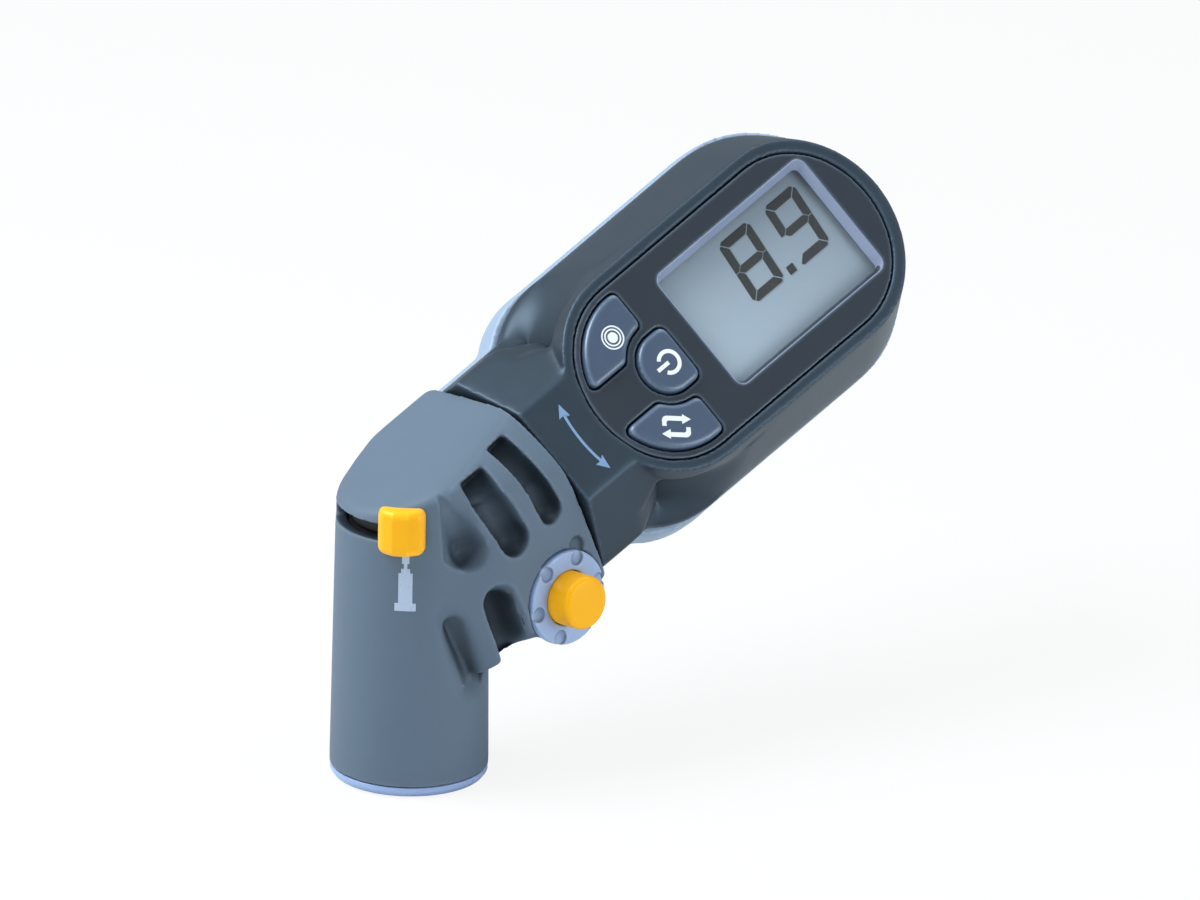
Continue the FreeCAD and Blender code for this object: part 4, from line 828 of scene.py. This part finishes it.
# bleed button: a turned cap with a slightly crowned top
buttonLook = {"radius": 4.05, "top": 4.7, "crown": 0.22, "crownAt": 0.45, "crownDrop": 0.05, "rounding": 0.85,
              "floor": -3.1, "flange": 4.9, "flangeTop": -2.1, "steps": 7, "sides": 96}


def bleedButton(look):
    radius, top, flange = look["radius"], look["top"], look["flange"]
    outline = filleted([(0.0, look["floor"]), (flange, look["floor"]), (flange, look["flangeTop"]),
                        (radius, look["flangeTop"]), (radius, top - look["crown"], look["rounding"]),
                        (radius * look["crownAt"], top - look["crownDrop"]), (0.0, top)], look["steps"])
    newPiece("bleedButton", turned(outline, onBleed, look["sides"]), "accentPlastic", "accent_plastic",
             "bleed_valve", "bleed_button")


bleedButton(buttonLook)

# lock lever: a knob with a proud middle flat between two facets, on a stem from the cam
leverLook = {"angle": 218.5, "inner": 11.6, "innerSteps": 9, "side": 12.75, "middle": 14.0, "half": 3.5,
             "flat": 1.2, "low": 38.4, "high": 45.6, "rounding": 1.2, "steps": 5, "clear": 0.3,
             "stemHalf": 1.2, "stemInner": 8.84, "stemInto": 1.0, "stemLow": 40.2, "stemHigh": 42.0,
             "voxel": 0.12, "rounds": 3}


def lockLever(look):
    angle = math.radians(look["angle"])

    def place(out, across, z):
        return onChuck(out * math.cos(angle) - across * math.sin(angle),
                       out * math.sin(angle) + across * math.cos(angle), z)

    axis = place(1, 0, 0).normalized()

    def isRounded(edge):
        # all but the edges at the chuck and the two upright ones beside the middle flat
        outs = [vertex.co.dot(axis) * 1000 for vertex in edge.verts]
        upright = abs(edge.verts[0].co.z - edge.verts[1].co.z) * 1000 > look["clear"]
        beside = upright and outs[0] > look["side"] + look["clear"]
        return max(outs) > look["inner"] + look["clear"] and not beside

    bowed = [(math.sqrt(look["inner"] ** 2 - t ** 2), t)
             for t in np.linspace(-look["half"], look["half"], look["innerSteps"])]
    front = [(look["side"], look["half"]), (look["middle"], look["flat"]), (look["middle"], -look["flat"]),
             (look["side"], -look["half"])]
    knob = prism("lever", bowed + front, look["low"], look["high"], place)
    stemOuter = look["inner"] + look["stemInto"]
    stem = prism("stem", [(look["stemInner"], -look["stemHalf"]), (stemOuter, -look["stemHalf"]),
                          (stemOuter, look["stemHalf"]), (look["stemInner"], look["stemHalf"])],
                 look["stemLow"], look["stemHigh"], place)
    work = bmesh.new()
    work.from_mesh(knob)
    edges = [edge for edge in work.edges if isRounded(edge)]
    bmesh.ops.bevel(work, geom=edges, offset=look["rounding"] / 1000, segments=look["steps"], profile=0.5,
                    affect="EDGES")
    work.from_mesh(stem)
    work.to_mesh(knob)
    work.free()
    newPiece("lockLever", softened("lockLever", knob, look), "accentPlastic", "accent_plastic", "lever",
             "lock_lever")


lockLever(leverLook)
print("ring, button and lever made")

# display: two digits and a point, each digit of up to seven bars, leaning a little, with a shade under them
digitLook = {"low": 11.29, "high": 11.335, "shadeHigh": 11.315, "shadeShift": (0.16, -0.22), "stroke": 1.4,
             "gap": 0.15, "width": 6.55, "height": 10.25, "lean": 0.115, "chamfer": 0.75,
             "starts": ((66.75, -2.0, "abcdefg"), (76.5, -2.2, "abcdfg")), "point": (75.05, -1.45, 0.68),
             "pointLean": 0.12}


def digitBars(look, x, y, lit):
    # bars with mitred ends; across and up run along the digit before it leans
    wide, high, thick, nip = (look[key] for key in ("width", "height", "stroke", "chamfer"))
    slit = look["gap"] / math.sqrt(8)  # half the gap, measured along the bars, which meet at 45 degrees
    half = high / 2
    outer = nip / 2
    top = [(outer + slit, high - outer + slit), (nip, high), (wide - nip, high),
           (wide - outer - slit, high - outer + slit), (wide - thick - 2 * slit, high - thick),
           (thick + 2 * slit, high - thick)]
    side = [(outer - slit, high - outer - slit), (0, high - nip), (0, half + slit), (thick / 2, half + slit),
            (thick, half + thick / 2 + slit), (thick, high - thick - 2 * slit)]
    middle = [(thick / 2 + slit, half), (thick + slit, half + thick / 2 - slit),
              (wide - thick - slit, half + thick / 2 - slit), (wide - thick / 2 - slit, half),
              (wide - thick - slit, half - thick / 2 + slit), (thick + slit, half - thick / 2 + slit)]
    bars = {"a": top, "f": side, "g": middle,
            "d": [(across, high - up) for across, up in top][::-1],
            "b": [(wide - across, up) for across, up in side][::-1],
            "e": [(across, high - up) for across, up in side][::-1],
            "c": [(wide - across, high - up) for across, up in side]}
    return [[(x + across + look["lean"] * up, y + up) for across, up in bars[key]] for key in lit]


def displayDigits(look):
    loops = [bar for x, y, lit in look["starts"] for bar in digitBars(look, x, y, lit)]
    x, y, half = look["point"]
    lean = look["pointLean"]
    loops.append([(x - half, y - half), (x + half, y - half), (x + half + lean, y + half),
                  (x - half + lean, y + half)])
    across, up = look["shadeShift"]
    shade = [[(x + across, y + up) for x, y in loop] for loop in loops]
    printed("displayShade", shade, look["low"], look["shadeHigh"], "segmentShade", "display", "gauge_body")
    printed("displayDigits", loops, look["low"], look["high"], "segmentInk", "panel_plastic", "gauge_body")


displayDigits(digitLook)

# the bright bevelled edge round the display window: its sections are how far in and how high
trimLook = {"near": 54.8, "far": 86.7, "low": -10.03, "high": 10.77, "corner": 1.6, "steps": 8,
            "thin": 0.25, "sections": ((0.12, 13.78), (1.10, 12.46), (0.98, 12.40), (-0.02, 13.70))}


def roundedLoop(low, high, corner, steps):
    loop = []
    for x, y, start in ((high[0] - corner, high[1] - corner, 0), (low[0] + corner, high[1] - corner, 90),
                        (low[0] + corner, low[1] + corner, 180), (high[0] - corner, low[1] + corner, 270)):
        loop += circle(x, y, corner, steps, start, 90.0)
    return loop


def windowTrim(look):
    verts, faces = [], []
    for inset, z in look["sections"]:
        thin = min(inset, look["thin"])
        low = look["near"] + thin, look["low"] + thin
        high = look["far"] - inset, look["high"] - inset
        loop = roundedLoop(low, high, look["corner"] - inset / 2, look["steps"])
        verts += [onGauge(x, y, z) for x, y in loop]
    rows = len(look["sections"])
    count = len(verts) // rows
    for row in range(rows):
        here, ahead = row * count, (row + 1) % rows * count
        faces += [(here + k, here + (k + 1) % count, ahead + (k + 1) % count, ahead + k)
                  for k in range(count)]
    mesh = solidFrom("windowTrim", verts, faces)
    newPiece("windowTrim", mesh, "windowEdge", "lens", "gauge_body", smooth=False)


windowTrim(trimLook)

# printed signs on the three keys, each from a little inside the key; the bend in the unit key's arrow is an
# arc, given by its centre, radius, steps, start and sweep
signLook = {"low": 14.58, "high": 14.63, "ink": "whiteInk", "slot": "key_rubber"}
powerLook = {"spot": (47.75, -0.15), "radius": 1.66, "stroke": 0.62, "start": 218, "sweep": 284,
             "barBeyond": 0.75, "barEnd": 0.1}
tuneLook = {"spot": (43.0, 7.95), "radii": (1.85, 1.62, 1.36, 1.12, 0.82)}
unitLook = {"spot": (41.9, -8.1), "turn": -38.5, "foot": (-2.25, 0.04),
            "bend": (-1.48, 0.83, 0.77, 8, 180, -90),
            "head": ((1.02, 1.60), (1.02, 1.92), (2.38, 1.20), (0.98, 0.42), (0.98, 0.88)),
            "inside": ((-1.30, 0.88), (-1.55, 0.63), (-1.55, 0.04))}


def keySign(name, loops, body):
    printed(name, loops, signLook["low"], signLook["high"], signLook["ink"], signLook["slot"], body)


def powerSign(look):
    # an open ring with a bar through its gap
    x, y = look["spot"]
    half = look["stroke"] / 2
    arc = arcBand(x, y, look["radius"], look["stroke"], look["start"], look["sweep"])
    start, end = x - look["radius"] - look["barBeyond"], x - look["barEnd"]
    keySign("powerSign", [arc, [(start, y - half), (end, y - half), (end, y + half), (start, y + half)]],
            "power_button")


def unitSign(look):
    # two bent arrows, one the other turned round
    x, y = look["spot"]
    arrow = [look["foot"], *circle(*look["bend"]), *look["head"], *look["inside"]]
    keySign("unitSign", [placedLoop(arrow, x, y, look["turn"] + half) for half in (0, 180)], "unit_button")


powerSign(powerLook)
keySign("tuneSign", [circle(*tuneLook["spot"], radius) for radius in tuneLook["radii"]], "tune_button")
unitSign(unitLook)

# a double-headed arrow on the neck along the turn: an arc through three points, with a head at each end
arrowLook = {"ends": ((29.15, 5.6), (29.45, -6.5)), "middle": (28.45, -0.45), "stroke": 0.42, "trim": 1.85,
             "steps": 28, "head": ((0, 0), (-2.15, 0.95), (-1.9, 0.3), (-1.9, -0.3), (-2.15, -0.95)),
             "low": 13.97, "high": 14.025}


def neckArrow(look):
    ends = [Vector(end) for end in look["ends"]]
    middle = Vector(look["middle"])
    chord = (ends[1] - ends[0]).length / 2
    rise = abs((ends[0] + ends[1]).x / 2 - middle.x)
    radius = (chord ** 2 + rise ** 2) / (2 * rise)
    centre = Vector((middle.x + radius, middle.y))
    start, stop = [math.degrees(math.atan2(end.y - centre.y, end.x - centre.x)) % 360 for end in ends]
    trim = math.degrees(look["trim"] / radius)
    loops = [arcBand(centre.x, centre.y, radius, look["stroke"], start + trim, stop - start - 2 * trim,
                     look["steps"])]
    for angle, heading in ((start, start - 90), (stop, stop + 90)):
        tip = centre + Vector((math.cos(math.radians(angle)), math.sin(math.radians(angle)))) * radius
        loops.append(placedLoop(look["head"], tip.x, tip.y, heading))
    printed("neckArrow", loops, look["low"], look["high"], "blueInk", "cover_plastic", "gauge_body")


neckArrow(arrowLook)

# a plain sign for a valve, below the lever, round the chuck: each row has its top, foot and half width
valveLook = {"angle": 221.6, "mouth": 11.75, "draft": 0.65, "proud": 0.025, "sunk": 0.06, "columns": 8,
             "rows": ((37.9, 36.7, 0.55), (36.7, 35.9, 0.26), (35.9, 35.2, 0.66), (35.2, 30.5, 1.05),
                      (30.5, 29.3, 1.58))}


def valveSign(look):
    verts, faces = [], []
    narrowing = math.tan(math.radians(look["draft"]))
    for high, low, half in look["rows"]:
        start = len(verts)
        last = start + 4 * look["columns"]
        for column in range(look["columns"] + 1):
            across = -half + 2 * half * column / look["columns"]
            for z in (low, high):
                for lift in (-look["sunk"], look["proud"]):
                    out = look["mouth"] - z * narrowing + lift
                    angle = math.radians(look["angle"] + math.degrees(across / out))
                    verts.append(onChuck(out * math.cos(angle), out * math.sin(angle), z))
        for a in range(start, last, 4):
            b = a + 4
            faces += [(a, a + 2, b + 2, b), (a + 1, b + 1, b + 3, a + 3), (a, b, b + 1, a + 1),
                      (a + 2, a + 3, b + 3, b + 2)]
        faces += [(start, start + 1, start + 3, start + 2), (last, last + 2, last + 3, last + 1)]
    newPiece("valveSign", solidFrom("valveSign", verts, faces), "greyInk", "cover_plastic", "valve_head",
             smooth=False)


valveSign(valveLook)
print("display and signs made")

# grip ribs round the battery cover, laid out by a node tree
ribLook = {"count": 48, "inner": 8.9, "outer": 11.5, "width": 0.32, "height": 0.3, "proud": 0.12,
           "centre": 64.0, "plane": -14.5}


def ribTree():
    # a small box on each point of a ring, turned to look outwards
    tree = bpy.data.node_groups.new("gripRibs", "GeometryNodeTree")
    sockets = {}
    for key, kind in (("Count", "NodeSocketInt"), ("Radius", "NodeSocketFloat"), ("Size", "NodeSocketVector"),
                      ("Finish", "NodeSocketMaterial")):
        sockets[key] = tree.interface.new_socket(key, in_out="INPUT", socket_type=kind).identifier
    tree.interface.new_socket("Geometry", in_out="OUTPUT", socket_type="NodeSocketGeometry")
    kinds = {"inputs": "NodeGroupInput", "ring": "GeometryNodeMeshCircle", "box": "GeometryNodeMeshCube",
             "place": "GeometryNodeInstanceOnPoints", "spot": "GeometryNodeInputPosition",
             "align": "FunctionNodeAlignEulerToVector", "real": "GeometryNodeRealizeInstances",
             "paint": "GeometryNodeSetMaterial", "end": "NodeGroupOutput"}
    nodes = {key: tree.nodes.new(kind) for key, kind in kinds.items()}
    nodes["align"].axis = "X"
    for source, output, target, entry in (
            ("inputs", "Count", "ring", "Vertices"), ("inputs", "Radius", "ring", "Radius"),
            ("inputs", "Size", "box", "Size"), ("inputs", "Finish", "paint", "Material"),
            ("ring", "Mesh", "place", "Points"), ("box", "Mesh", "place", "Instance"),
            ("spot", "Position", "align", "Vector"), ("align", "Rotation", "place", "Rotation"),
            ("place", "Instances", "real", "Geometry"), ("real", "Geometry", "paint", "Geometry"),
            ("paint", "Geometry", "end", "Geometry")):
        tree.links.new(nodes[source].outputs[output], nodes[target].inputs[entry])
    return tree, sockets


def gripRibs(look):
    tree, sockets = ribTree()
    holder = linked("ribHolder", bpy.data.meshes.new("ribs"))
    growth = holder.modifiers.new("ribs", "NODES")
    growth.node_group = tree
    growth[sockets["Count"]] = look["count"]
    growth[sockets["Radius"]] = (look["inner"] + look["outer"]) / 2
    growth[sockets["Size"]] = (look["outer"] - look["inner"], look["width"], look["height"])
    growth[sockets["Finish"]] = finishes["coverPlastic"]
    mesh = evaluated(holder)
    ontoGauge(mesh, look["centre"], look["plane"] - look["proud"] + look["height"] / 2)
    weld(mesh)
    newPiece("gripRibs", mesh, "coverPlastic", "cover_plastic", "battery_lid", smooth=False)


gripRibs(ribLook)
print("grip ribs made")
